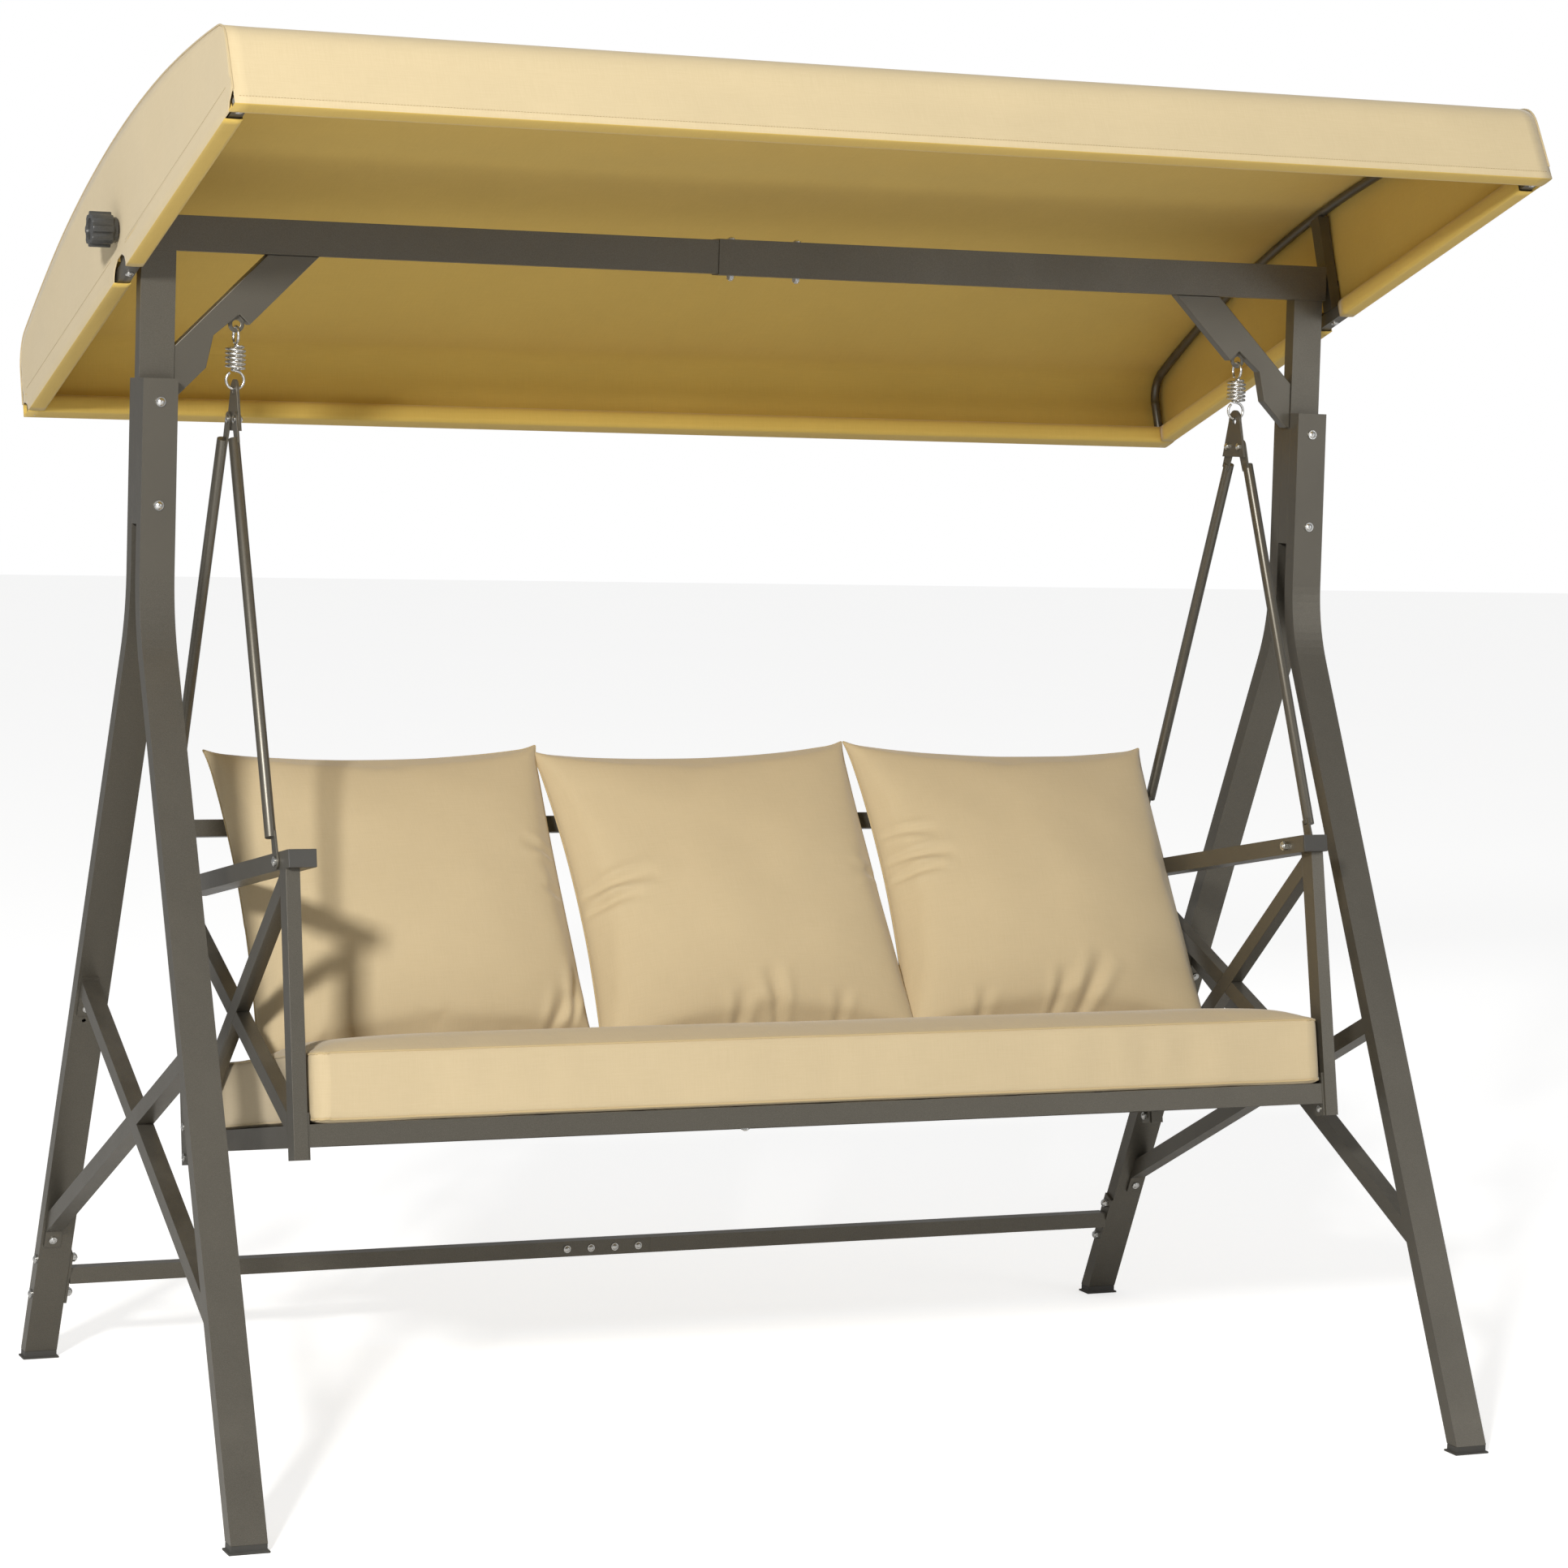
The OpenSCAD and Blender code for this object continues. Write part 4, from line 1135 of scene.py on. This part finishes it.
@dataclass
class Pillow:
    """A knife-edged scatter cushion with pointed corners, leaning on the back."""

    finishes: Finishes
    plane: SeatPlane
    node: str
    shift: float
    turn: float
    lifts: tuple[float, float]
    creases: tuple[Crease, ...]
    seed: int
    flat: tuple[float, float] = (0.548, 0.556)
    waist: float = 0.040
    drop: float = 0.010
    fullness: float = 0.150
    lean: float = math.radians(22.9)
    cells: int = 54

    def _blank(self) -> bmesh.types.BMesh:
        """Builds two square panels that share their edge, with the edge marked as the seam.

        Returns:
            The flat pillow.
        """
        bm = bmesh.new()
        half_w, half_h = self.flat[0] / 2, self.flat[1] / 2
        for side in (1, -1):
            panel = bmesh.ops.create_grid(bm, x_segments=self.cells, y_segments=self.cells, size=1.0)
            made = panel["verts"]
            for vert in made:
                x, y = vert.co.x, vert.co.y
                rise = 0.004 * (1 - x ** 8) * (1 - y ** 8)
                vert.co = Vector((x * half_w, y * half_h, side * rise))
            if side < 0:
                bmesh.ops.reverse_faces(bm, faces=list({f for v in made for f in v.link_faces}))
        edge_verts = [v for v in bm.verts if abs(v.co.z) < 1e-7]
        bmesh.ops.remove_doubles(bm, verts=edge_verts, dist=1e-6)
        bm.normal_update()
        for edge in bm.edges:
            edge.seam = all(abs(v.co.z) < 1e-7 for v in edge.verts)
        layer = bm.loops.layers.uv.new(CLOTH_UV)
        for face in bm.faces:
            for loop in face.loops:
                x, y, _ = loop.vert.co
                loop[layer].uv = (x + self.seed, y + (2 if face.normal.z < 0 else 0))
        return bm

    def _swell(self, obj: bpy.types.Object) -> None:
        """Fills the pillow: a rounded start, then a short simulated swell that puckers its seam.

        Args:
            obj: The flat pillow, which is changed.
        """
        points = read_points(obj.data)
        a, b = 2 * points[:, 0] / self.flat[0], 2 * points[:, 1] / self.flat[1]
        rise = (1 - np.abs(a) ** 2.4) * (1 - np.abs(b) ** 2.4)
        points[:, 2] = np.sign(points[:, 2]) * self.fullness / 2 * rise ** 0.6
        points[:, 0] *= 1 - self.waist * (1 - b ** 2)
        points[:, 1] *= 1 - 0.07 * (1 - a ** 2)
        write_points(obj.data, points)
        inflate(obj, 2.5, 12, 15.0, 0.012)
        points = read_points(obj.data)
        points[:, 2] *= self.fullness / (points[:, 2].max() - points[:, 2].min())
        write_points(obj.data, points)

    def _settle(self, points: np.ndarray) -> np.ndarray:
        """Slumps the filled pillow: fuller low down, bent back, creased, with raised corners.

        Args:
            points: Rows of across, up, towards the viewer, about the middle.

        Returns:
            The settled rows.
        """
        across, up, out = points.T
        half_w, half_h = self.flat[0] / 2, self.flat[1] / 2
        a, b = across / half_w, up / half_h
        out = out * (1 - 0.20 * b)
        out = out - 0.016 * (b + 0.2) ** 2
        front = np.clip(points[:, 2] / 0.02, 0, 1)
        for crease in self.creases:
            da, db = (a - crease.across) * half_w, (b - crease.up) * half_h
            along = da * math.cos(crease.angle) + db * math.sin(crease.angle)
            aside = -da * math.sin(crease.angle) + db * math.cos(crease.angle)
            reach = np.clip(1 - np.abs(along / crease.length - 0.5) * 2, 0, 1) ** 0.7
            narrow = crease.width * (0.5 + 0.9 * np.clip(along / crease.length, 0, 1))
            beside = (np.abs(aside) - 2.0 * narrow) / narrow
            fold = np.exp(-(aside / narrow) ** 2) - 0.55 * np.exp(-beside ** 2)
            out = out - front * crease.depth * reach * fold
        bumps = np.array([noise.noise(Vector((p * 9, q * 9, self.seed))) for p, q in zip(across, up)])
        inner = np.clip(1 - np.maximum(np.abs(a), np.abs(b)) ** 4, 0, 1)
        out = out + 0.004 * bumps * np.sign(points[:, 2]) * inner
        for side, lift in zip((-1, 1), self.lifts):
            near = np.clip(side * a, 0, 1) ** 2 * np.clip(-b, 0, 1) ** 2
            up = up + lift * near
            out = out - 0.35 * lift * near
        angle = math.radians(self.turn)
        c, s = math.cos(angle), math.sin(angle)
        return np.column_stack((across * c - up * s, across * s + up * c, out))

    def build(self, rest_level: float) -> bpy.types.Object:
        """Builds and places the pillow and its seam.

        Args:
            rest_level: Height of the seat cushion's top above its own middle, square to the seat.

        Returns:
            The pillow.
        """
        obj = put_object(self.node + "_soft", self._blank(), self.finishes.cushion)
        self._swell(obj)
        subdivide(obj, 1)
        points = self._settle(read_points(obj.data))
        local = np.column_stack((points[:, 0] + self.shift, -points[:, 2], points[:, 1] - self.drop))
        world = self.plane.to_world(local, centre_of(self.node), self.lean)
        write_points(obj.data, self._rest_on_seat(world, rest_level))
        loops = seam_loops(obj.data)
        seam = tube_along(self.node + "_seam", loops, 0.0013, self.finishes.cushion_seam_shade, 1)
        for piece in (obj, seam):
            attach(piece, "seat")
        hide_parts(self.node)
        LOG.info("%s: %d faces", self.node, len(obj.data.polygons))
        return obj

    def _rest_on_seat(self, world: np.ndarray, rest_level: float) -> np.ndarray:
        """Presses what would sink into the seat cushion flat on its top.

        Args:
            world: Rows in the row frame.
            rest_level: Height of the seat cushion's top above its own middle.

        Returns:
            The rows, kept above the cushion.
        """
        centre = np.array(centre_of("seat_cushion"))
        square = np.array([0.0, math.sin(self.plane.tilt), math.cos(self.plane.tilt)])
        height = (world - centre) @ square - rest_level
        sunk = np.minimum(height, 0.0)
        return world - np.outer(sunk * 0.97, square)


# ---------------------------------------------------------------- canopy


@dataclass
class CanopyCover:
    """One stretched sheet over two ribs, with sleeves for the side, front and rear tubes."""

    finishes: Finishes
    arc_radius: float = 2.425
    rise: float = 0.128
    hem: float = -0.066
    front_lean: float = 0.020
    front_bend: float = 0.030
    rear_bend: float = 0.055
    cloth: float = 0.0011
    sag: float = 0.007
    past_tubes: float = 0.043
    side_sleeve: float = 0.0255
    front_sleeve: float = 0.0305
    rear_sleeve: float = 0.0345
    columns: int = 96
    side_steps: int = 7
    roof_steps: int = 64

    def __post_init__(self) -> None:
        """Takes the pivot, the tilt and the width from the frame."""
        joint = next(j for j in frame["joints"] if j["name"] == "canopy_tilt")
        self.pivot = Vector(joint["pos_m"])
        run = centre_of("canopy_rear_tube") - centre_of("canopy_front_tube")
        self.tilt = math.atan2(-run.z, run.y)
        low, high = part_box("canopy_cover")
        self.half_w = (high.x - low.x) / 2
        self.half_d = (run.length + self.past_tubes) / 2

    def world(self, x: float, p: float, q: float) -> Vector:
        """Turns a place on the canopy into the row frame.

        Args:
            x: Place across.
            p: Place to the canopy's rear.
            q: Place square to the canopy.

        Returns:
            The point.
        """
        c, s = math.cos(self.tilt), math.sin(self.tilt)
        return self.pivot + Vector((x, p * c + q * s, q * c - p * s))

    def _outline(self) -> list[tuple[float, float]]:
        """Draws the side outline from the front hem over the roof to the rear hem.

        Returns:
            Pairs of p and q.
        """
        centre_q = self.rise - self.arc_radius
        top_p = -self.half_d + self.front_lean
        top_q = centre_q + math.sqrt(self.arc_radius ** 2 - top_p ** 2)
        rear_r = self.rear_bend
        bend_p = self.half_d - rear_r
        bend_q = centre_q + math.sqrt((self.arc_radius - rear_r) ** 2 - bend_p ** 2)
        start = Vector((-self.half_d, self.hem))
        corner = Vector((top_p, top_q))
        up = (corner - start).normalized()
        turn = self.front_bend
        roof_start = math.asin(top_p / self.arc_radius) + turn / self.arc_radius
        roof_end = math.atan2(bend_p, bend_q - centre_q)

        def on_roof(angle: float) -> Vector:
            """Returns the roof's point at an angle from the top of its arc."""
            return Vector((self.arc_radius * math.sin(angle), centre_q + self.arc_radius * math.cos(angle)))

        below, beyond = corner - up * turn, on_roof(roof_start)
        made = [start.lerp(below, i / self.side_steps) for i in range(self.side_steps)]
        for i in range(7):
            t = i / 6
            made.append(below.lerp(corner, t).lerp(corner.lerp(beyond, t), t))
        for i in range(1, self.roof_steps):
            made.append(on_roof(roof_start + (roof_end - roof_start) * i / self.roof_steps))
        first = roof_end
        for i in range(9):
            angle = first + (math.pi / 2 - first) * i / 8
            made.append(Vector((bend_p + rear_r * math.sin(angle), bend_q + rear_r * math.cos(angle))))
        last = made[-1]
        foot = Vector((self.half_d, self.hem))
        made += [last.lerp(foot, (i + 1) / self.side_steps) for i in range(self.side_steps)]
        return [(v.x, v.y) for v in made]

    def _sleeve(self, edge: float, inner: float, sign: float) -> list[tuple[float, float]]:
        """Returns the way a hem wraps under its tube and up inside to its stitching.

        Args:
            edge: Distance of the outer cloth from the middle.
            inner: Distance of the sleeve's inner wall from the middle.
            sign: -1 for the front or left, 1 for the rear or right.

        Returns:
            Pairs of distance and q, from the outer cloth on.
        """
        low = self.hem
        span = edge - inner
        turns = [(0.97, -0.0004), (0.80, -0.0009), (0.5, -0.0011), (0.2, -0.0009), (0.03, -0.0004)]
        made = [(sign * (inner + span * share), low + drop) for share, drop in turns]
        made += [(sign * inner, low + rise) for rise in (0.006, 0.013, 0.020)]
        back = ((0.12, 0.026), (0.45, 0.031), (0.93, 0.035))
        made += [(sign * (inner + span * share), low + rise) for share, rise in back]
        return made

    def _add_sheet(self, bm: bmesh.types.BMesh, outline: list[tuple[float, float]]) -> None:
        """Sweeps the outline, with its front and rear sleeves, across the canopy.

        Args:
            bm: The sheet's mesh.
            outline: Pairs of p and q.
        """
        slope = self.front_lean / (outline[self.side_steps + 3][1] - self.hem)
        wrap = self._sleeve(self.half_d, self.half_d - self.front_sleeve, -1)
        front = []
        for p, q in reversed(wrap):
            clear = 0.0015 if q > self.hem + 0.03 else 0.0
            front.append((p + slope * max(0.0, q - self.hem) + clear, q))
        rear = self._sleeve(self.half_d, self.half_d - self.rear_sleeve, 1)
        rows = front + outline + rear
        line = [bm.verts.new((-self.half_w, p, q)) for p, q in rows]
        edges = [bm.edges.new(pair) for pair in zip(line, line[1:])]
        step = Vector((2 * self.half_w / self.columns, 0, 0))
        for _ in range(self.columns):
            made = bmesh.ops.extrude_edge_only(bm, edges=edges)["geom"]
            edges = [g for g in made if isinstance(g, bmesh.types.BMEdge)]
            moved = [g for g in made if isinstance(g, bmesh.types.BMVert)]
            bmesh.ops.translate(bm, verts=moved, vec=step)

    def _add_side(self, bm: bmesh.types.BMesh, outline: list[tuple[float, float]], sign: float) -> None:
        """Fills one end below the outline with a patch, and adds its sleeve.

        Args:
            bm: The sheet's mesh.
            outline: Pairs of p and q.
            sign: -1 for the left end, 1 for the right.
        """
        corner = self.side_steps + 3
        left = outline[: corner + 1]
        top = outline[corner: len(outline) - corner]
        right = list(reversed(outline[len(outline) - corner - 1:]))
        first_p, last_p = outline[0][0], outline[-1][0]
        steps = len(top) - 1
        base = [(first_p + (last_p - first_p) * i / steps, self.hem) for i in range(len(top))]
        across, high = len(top) - 1, len(left) - 1
        grid = []
        for j in range(high + 1):
            t = j / high
            row = []
            for i in range(across + 1):
                s = i / across
                point = []
                for k in (0, 1):
                    ruled = (1 - t) * base[i][k] + t * top[i][k] + (1 - s) * left[j][k] + s * right[j][k]
                    low = (1 - s) * (1 - t) * left[0][k] + s * (1 - t) * right[0][k]
                    point.append(ruled - (low + (1 - s) * t * left[-1][k] + s * t * right[-1][k]))
                row.append(bm.verts.new((sign * self.half_w, point[0], point[1])))
            grid.append(row)
        for j in range(high):
            for i in range(across):
                bm.faces.new((grid[j][i], grid[j][i + 1], grid[j + 1][i + 1], grid[j + 1][i]))
        self._add_side_sleeve(bm, [v.co.y for v in grid[0]], sign)

    def _add_side_sleeve(self, bm: bmesh.types.BMesh, places: list[float], sign: float) -> None:
        """Wraps the end's hem round its side tube, open at the corners and at the middle bolt.

        Args:
            bm: The sheet's mesh.
            places: The p of each point along the hem.
            sign: -1 for the left end, 1 for the right.
        """
        wrap = self._sleeve(self.half_w, self.half_w - self.side_sleeve, sign)
        kept = [p for p in places if -self.half_d + 0.036 < p < self.half_d - 0.022]
        bolt_room = 0.034
        runs = [[p for p in kept if p < -bolt_room], [p for p in kept if p > bolt_room]]
        for run, stop in zip(runs, (-bolt_room, bolt_room)):
            run = sorted(run + [stop])
            line = [bm.verts.new((sign * self.half_w, p, self.hem)) for p in run]
            edges = [bm.edges.new(pair) for pair in zip(line, line[1:])]
            before = (sign * self.half_w, self.hem)
            for x, q in wrap:
                made = bmesh.ops.extrude_edge_only(bm, edges=edges)["geom"]
                edges = [g for g in made if isinstance(g, bmesh.types.BMEdge)]
                moved = [g for g in made if isinstance(g, bmesh.types.BMVert)]
                bmesh.ops.translate(bm, verts=moved, vec=Vector((x - before[0], 0, q - before[1])))
                before = (x, q)

    def _cut_opening(
        self, bm: bmesh.types.BMesh, sign: float, place: tuple[float, float], radius: float, stretch: float
    ) -> None:
        """Cuts a twelve-sided opening in one end of the sheet.

        Args:
            bm: The sheet's mesh.
            sign: -1 for the left end, 1 for the right.
            place: The opening's middle, as p and q.
            radius: Its half height.
            stretch: Its width as a multiple of its height.
        """
        centre = Vector((sign * self.half_w, *place))
        sides = 12
        angles = [2 * math.pi * k / sides for k in range(sides)]
        normals = [Vector((0, math.cos(angle), math.sin(angle))) for angle in angles]
        reach = [radius * math.hypot(n.y * stretch, n.z) for n in normals]

        def near(face: bmesh.types.BMFace) -> bool:
            """Tells whether a face of this end could touch the opening.

            Args:
                face: A face of the sheet.

            Returns:
                True if it lies in the end and near the opening.
            """
            if max(abs(v.co.x - centre.x) for v in face.verts) > 1e-4:
                return False
            size = max((v.co - centre).length for v in face.verts)
            return size < radius * stretch + 0.06

        for normal, distance in zip(normals, reach):
            faces = [f for f in bm.faces if near(f)]
            corners = list({v for f in faces for v in f.verts})
            geom = corners + list({e for f in faces for e in f.edges}) + faces
            cut = centre + normal * distance
            bmesh.ops.bisect_plane(bm, geom=geom, plane_co=cut, plane_no=normal, dist=1e-5)

        def inside(point: Vector) -> bool:
            """Tells whether a point lies within the opening."""
            return all((point - centre).dot(n) < d for n, d in zip(normals, reach))

        doomed = [f for f in bm.faces if near(f) and inside(f.calc_center_median())]
        bmesh.ops.delete(bm, geom=doomed, context="FACES")

    def _drape(self, bm: bmesh.types.BMesh) -> None:
        """Sags the roof a little between the ribs and adds the soft waves of stretched cloth.

        Args:
            bm: The sheet's mesh.
        """
        for vert in bm.verts:
            x, p, q = vert.co
            span = max(0.0, 1 - (x / self.half_w) ** 2)
            over = max(0.0, 1 - (p / self.half_d) ** 4)
            roof = min(1.0, max(0.0, (q - 0.02) / 0.05))
            wave = noise.noise(Vector((x * 2.2, p * 3.0, 1.7)))
            wave += 0.4 * noise.noise(Vector((x * 7.0, p * 4.0, 5.1)))
            near_edge = math.exp(-((self.half_w - abs(x)) / 0.16) ** 2)
            tug = math.sin(p * 34 + 2.0 * noise.noise(Vector((p * 3, 0, x))))
            pull = 0.0016 * near_edge * tug * min(1.0, span * 12)
            vert.co.z = q - roof * over * (self.sag * span + 0.0022 * wave * span) + pull * roof
            band = max(0.0, 1 - abs(q + 0.005) / 0.055)
            front = 1.0 if p < -self.half_d + self.front_lean + 0.01 else 0.0
            rear = 1.0 if p > self.half_d - 0.012 else 0.0
            bow = 0.0030 * span + 0.0018 * noise.noise(Vector((x * 5.0, 0.0, q * 9.0))) * span
            vert.co.y = p + band * bow * (front - rear)
            end = 1.0 if abs(abs(x) - self.half_w) < 1e-4 else 0.0
            ripple = 0.0022 * noise.noise(Vector((p * 6.0, q * 7.0, 3.0 + x))) + 0.0010
            inside = max(0.0, min(1.0, (q - self.hem) / 0.05)) * max(0.0, 1 - (p / self.half_d) ** 6)
            room = max(0.0, min(1.0, (0.11 - q) / 0.05))
            vert.co.x = x - math.copysign(end * inside * room * (0.0005 + abs(ripple)), x)

    def _map_cloth(self, bm: bmesh.types.BMesh) -> None:
        """Lays the weave's coordinates on the sheet: across and along on the roof, flat on the ends.

        Args:
            bm: The sheet's mesh.
        """
        layer = bm.loops.layers.uv.new(CLOTH_UV)
        for face in bm.faces:
            end = abs(face.normal.x) > 0.7
            for loop in face.loops:
                x, p, q = loop.vert.co
                if end:
                    loop[layer].uv = (p + 4.0, q)
                elif abs(face.normal.y) > abs(face.normal.z):
                    loop[layer].uv = (x, q + 2.0)
                else:
                    loop[layer].uv = (x, p)

    def build(self) -> bpy.types.Object:
        """Builds the cover, its seams and its stitching.

        Returns:
            The cover.
        """
        outline = self._outline()
        bm = bmesh.new()
        self._add_sheet(bm, outline)
        for sign in (-1, 1):
            self._add_side(bm, outline, sign)
        bmesh.ops.remove_doubles(bm, verts=bm.verts[:], dist=1e-5)
        for sign in (-1, 1):
            self._cut_opening(bm, sign, (0.0, self.hem), 0.026, 34 / 26)
            self._cut_opening(bm, sign, (0.0, 0.0), 0.009, 1.0)
            for corner in (-1, 1):
                self._cut_opening(bm, sign, (corner * self.half_d, self.hem), 0.020, 30 / 20)
        self._drape(bm)
        bmesh.ops.recalc_face_normals(bm, faces=bm.faces[:])
        self._point_outwards(bm)
        self._map_cloth(bm)
        # Sleeve faces that turn down or inwards take the second slot: painted light through the cloth and painted
        # shade.
        for face in bm.faces:
            middle = face.calc_center_median()
            to_side = face.normal.x * math.copysign(1.0, middle.x)
            to_end = face.normal.y * math.copysign(1.0, middle.y)
            out = max(to_side, to_end)
            face.material_index = int(middle.z < self.hem + 0.037 and out < 0.6)
        corner = self.half_w - 2e-4
        for edge in bm.edges:
            ends = [abs(v.co.x) > corner - 0.004 for v in edge.verts]
            normals = [abs(f.normal.x) > 0.7 for f in edge.link_faces]
            turns = len(normals) == 2 and normals[0] != normals[1]
            above = all(v.co.z > self.hem + 0.002 for v in edge.verts)
            edge.seam = all(ends) and turns and above
        bmesh.ops.transform(bm, verts=bm.verts[:], matrix=self._placing())
        obj = put_object("canopy_cover_cloth", bm, self.finishes.canopy, self.finishes.backlit_underside)
        loops = seam_loops(obj.data)
        seams = tube_along("canopy_cover_seams", loops, 0.0014, self.finishes.canopy_seam_shade, 1)
        solid = obj.modifiers.new("cloth", "SOLIDIFY")
        solid.thickness = self.cloth
        solid.offset = -1.0
        # The inner face of the thickened sheet takes the second slot, the painted backlit underside.
        solid.material_offset = 1
        stitches = stitch_row("canopy_cover_stitches", self._stitch_lines(), self.finishes.thread)
        for piece in (obj, seams, stitches):
            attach(piece, "canopy")
        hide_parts("canopy_cover")
        width, length, area = self._flat_size(outline)
        LOG.info("canopy cover: %d faces, flat %.3f x %.3f m", len(obj.data.polygons), width, length)
        return obj

    def _placing(self) -> Matrix:
        """Returns the matrix from the canopy's own axes to the row frame."""
        return Matrix.Translation(self.pivot) @ Matrix.Rotation(-self.tilt, 4, "X")

    def _point_outwards(self, bm: bmesh.types.BMesh) -> None:
        """Turns the sheet over if its roof faces down.

        Args:
            bm: The sheet's mesh.
        """
        roof = [f for f in bm.faces if f.calc_center_median().z > self.rise - 0.03]
        if sum(f.normal.z for f in roof) < 0:
            bmesh.ops.reverse_faces(bm, faces=bm.faces[:])

    def _stitch_lines(self) -> list[list[Vector]]:
        """Lays out the stitching of the four hems.

        Returns:
            One line of points for each row of stitches.
        """
        lift, above = self.hem + 0.036, 0.0006
        lines = []
        for sign in (-1, 1):
            x = sign * (self.half_w + above * 0.2)
            for a, b in ((-self.half_d + 0.036, -0.04), (0.04, self.half_d - 0.03)):
                lines.append([self.world(x, a, lift), self.world(x, b, lift)])
        lean = self.front_lean / (0.055 - self.hem) * 0.011
        end, low = self.half_w - 0.006, self.hem + 0.011
        for p in (-self.half_d + lean - above, self.half_d + above):
            lines.append([self.world(x, p, low) for x in (-end, end)])
        return lines

    def _flat_size(self, outline: list[tuple[float, float]]) -> tuple[float, float, float]:
        """Works out the size of the cloth before it was sewn and stretched.

        Args:
            outline: Pairs of p and q.

        Returns:
            The cloth's width, length and area.
        """
        along = sum(math.dist(a, b) for a, b in zip(outline, outline[1:]))
        sleeve = self._sleeve(self.half_w, self.half_w - self.side_sleeve, 1)
        wrap = sum(math.dist(a, b) for a, b in zip(sleeve, sleeve[1:])) + 0.003
        closed = zip(outline, outline[1:] + outline[:1])
        end = abs(sum(a[0] * b[1] - b[0] * a[1] for a, b in closed)) / 2
        tall = self.rise - self.hem
        width = 2 * self.half_w + 2 * (tall + wrap)
        length = along + 2 * wrap
        area = 2 * self.half_w * length + 2 * end + 2 * wrap * 2 * self.half_d
        return width, length, min(area, width * length)


# ---------------------------------------------------------------- springs


@dataclass
class Spring:
    """A close-wound steel spring with a hook at each end."""

    finishes: Finishes
    node: str
    wire: float = 0.002
    turns: int = 6
    loop: float = 0.013
    coil: float = 0.037

    def _line(self, x: float, top: float) -> list[Vector]:
        """Returns the wire's centre line from the tip of the upper hook to that of the lower.

        Args:
            x: Where the spring hangs.
            top: Height of the top of the wire's centre line.

        Returns:
            Points along the wire.
        """
        made = []
        upper, lower = top - self.loop, top - 3 * self.loop - self.coil
        start, stop = top - 2 * self.loop, top - 2 * self.loop - self.coil
        for i in range(30):
            angle = math.radians(-52 + 322 * i / 29)
            made.append(Vector((x, self.loop * math.cos(angle), upper + self.loop * math.sin(angle))))
        steps = self.turns * 24
        for i in range(steps + 1):
            share = i / steps
            ease = min(1.0, share * 9, (1 - share) * 9)
            radius = self.loop * math.sin(ease * math.pi / 2)
            angle = math.radians(200) + 2 * math.pi * self.turns * share
            z = start - self.wire * 0.2 - (start - stop - self.wire * 0.4) * share
            made.append(Vector((x + radius * math.cos(angle), radius * math.sin(angle), z)))
        for i in range(30):
            angle = math.radians(90 - 322 * i / 29)
            made.append(Vector((x + self.loop * math.cos(angle), 0.0, lower + self.loop * math.sin(angle))))
        return made

    def build(self) -> bpy.types.Object:
        """Builds and places the spring.

        Returns:
            The spring.
        """
        low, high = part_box(self.node)
        x = (low.x + high.x) / 2
        top = high.z - self.wire
        obj = tube_along(self.node + "_wire", [self._line(x, top)], self.wire, self.finishes.zinc, 3)
        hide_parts(self.node)
        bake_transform(obj)
        LOG.info("%s: %d faces", self.node, len(obj.data.polygons))
        return obj


# ---------------------------------------------------------------- the whole bench


def build_pillows(finishes: Finishes, plane: SeatPlane, rest_level: float) -> None:
    """Builds the three scatter cushions, each with its own slump and creases.

    Args:
        finishes: The materials.
        plane: The plane of the seat.
        rest_level: Height of the seat cushion's top above its own middle.
    """
    shapes = (
        ("pillow_left", 0.006, 0.6, (0.0, 0.045), (
            Crease(0.62, -0.98, math.radians(62), 0.10, 0.009, 0.008),
            Crease(0.80, -0.90, math.radians(78), 0.12, 0.008, 0.009),
            Crease(0.98, 0.18, math.radians(168), 0.09, 0.007, 0.005),
            Crease(-0.7, -0.96, math.radians(90), 0.08, 0.010, 0.006),
            Crease(0.98, -0.05, math.radians(176), 0.07, 0.006, 0.004),
        )),
        ("pillow_middle", 0.016, 1.6, (0.0, 0.0), (
            Crease(-0.97, -0.02, math.radians(8), 0.13, 0.008, 0.008),
            Crease(-0.97, -0.14, math.radians(14), 0.10, 0.007, 0.007),
            Crease(-0.20, -0.97, math.radians(78), 0.09, 0.009, 0.007),
            Crease(0.10, -0.97, math.radians(100), 0.12, 0.009, 0.007),
            Crease(0.42, -0.97, math.radians(84), 0.08, 0.008, 0.005),
            Crease(0.97, 0.05, math.radians(186), 0.08, 0.007, 0.004),
        )),
        ("pillow_right", 0.018, -1.6, (0.0, 0.0), (
            Crease(-0.97, 0.12, 0.0, 0.12, 0.007, 0.007),
            Crease(-0.97, -0.02, math.radians(10), 0.10, 0.006, 0.006),
            Crease(-0.97, 0.30, math.radians(-6), 0.10, 0.006, 0.005),
            Crease(0.02, -0.97, math.radians(64), 0.14, 0.010, 0.009),
            Crease(-0.12, -0.97, math.radians(72), 0.11, 0.008, 0.007),
            Crease(-0.55, -0.97, math.radians(80), 0.08, 0.008, 0.005),
        )),
    )
    for seed, (node, shift, turn, lifts, creases) in enumerate(shapes, start=1):
        Pillow(finishes, plane, node, shift, turn, lifts, creases, seed).build(rest_level)


def main() -> None:
    """Builds the stage, the soft goods, the springs and the finishes, in that order."""
    logging.basicConfig(level=logging.INFO, format="%(name)s: %(message)s")
    studio = Studio()
    studio.camera()
    studio.lights()
    studio.floor()
    finishes = Finishes()
    plane = SeatPlane()
    CanopyCover(finishes).build()
    cushion = SeatCushion(finishes, plane)
    cushion.build()
    build_pillows(finishes, plane, cushion.thickness / 2 - 0.002)
    for side in ("left", "right"):
        Spring(finishes, "spring_" + side).build()
    FrameDressing(finishes).dress()


if __name__ == "__main__":
    main()
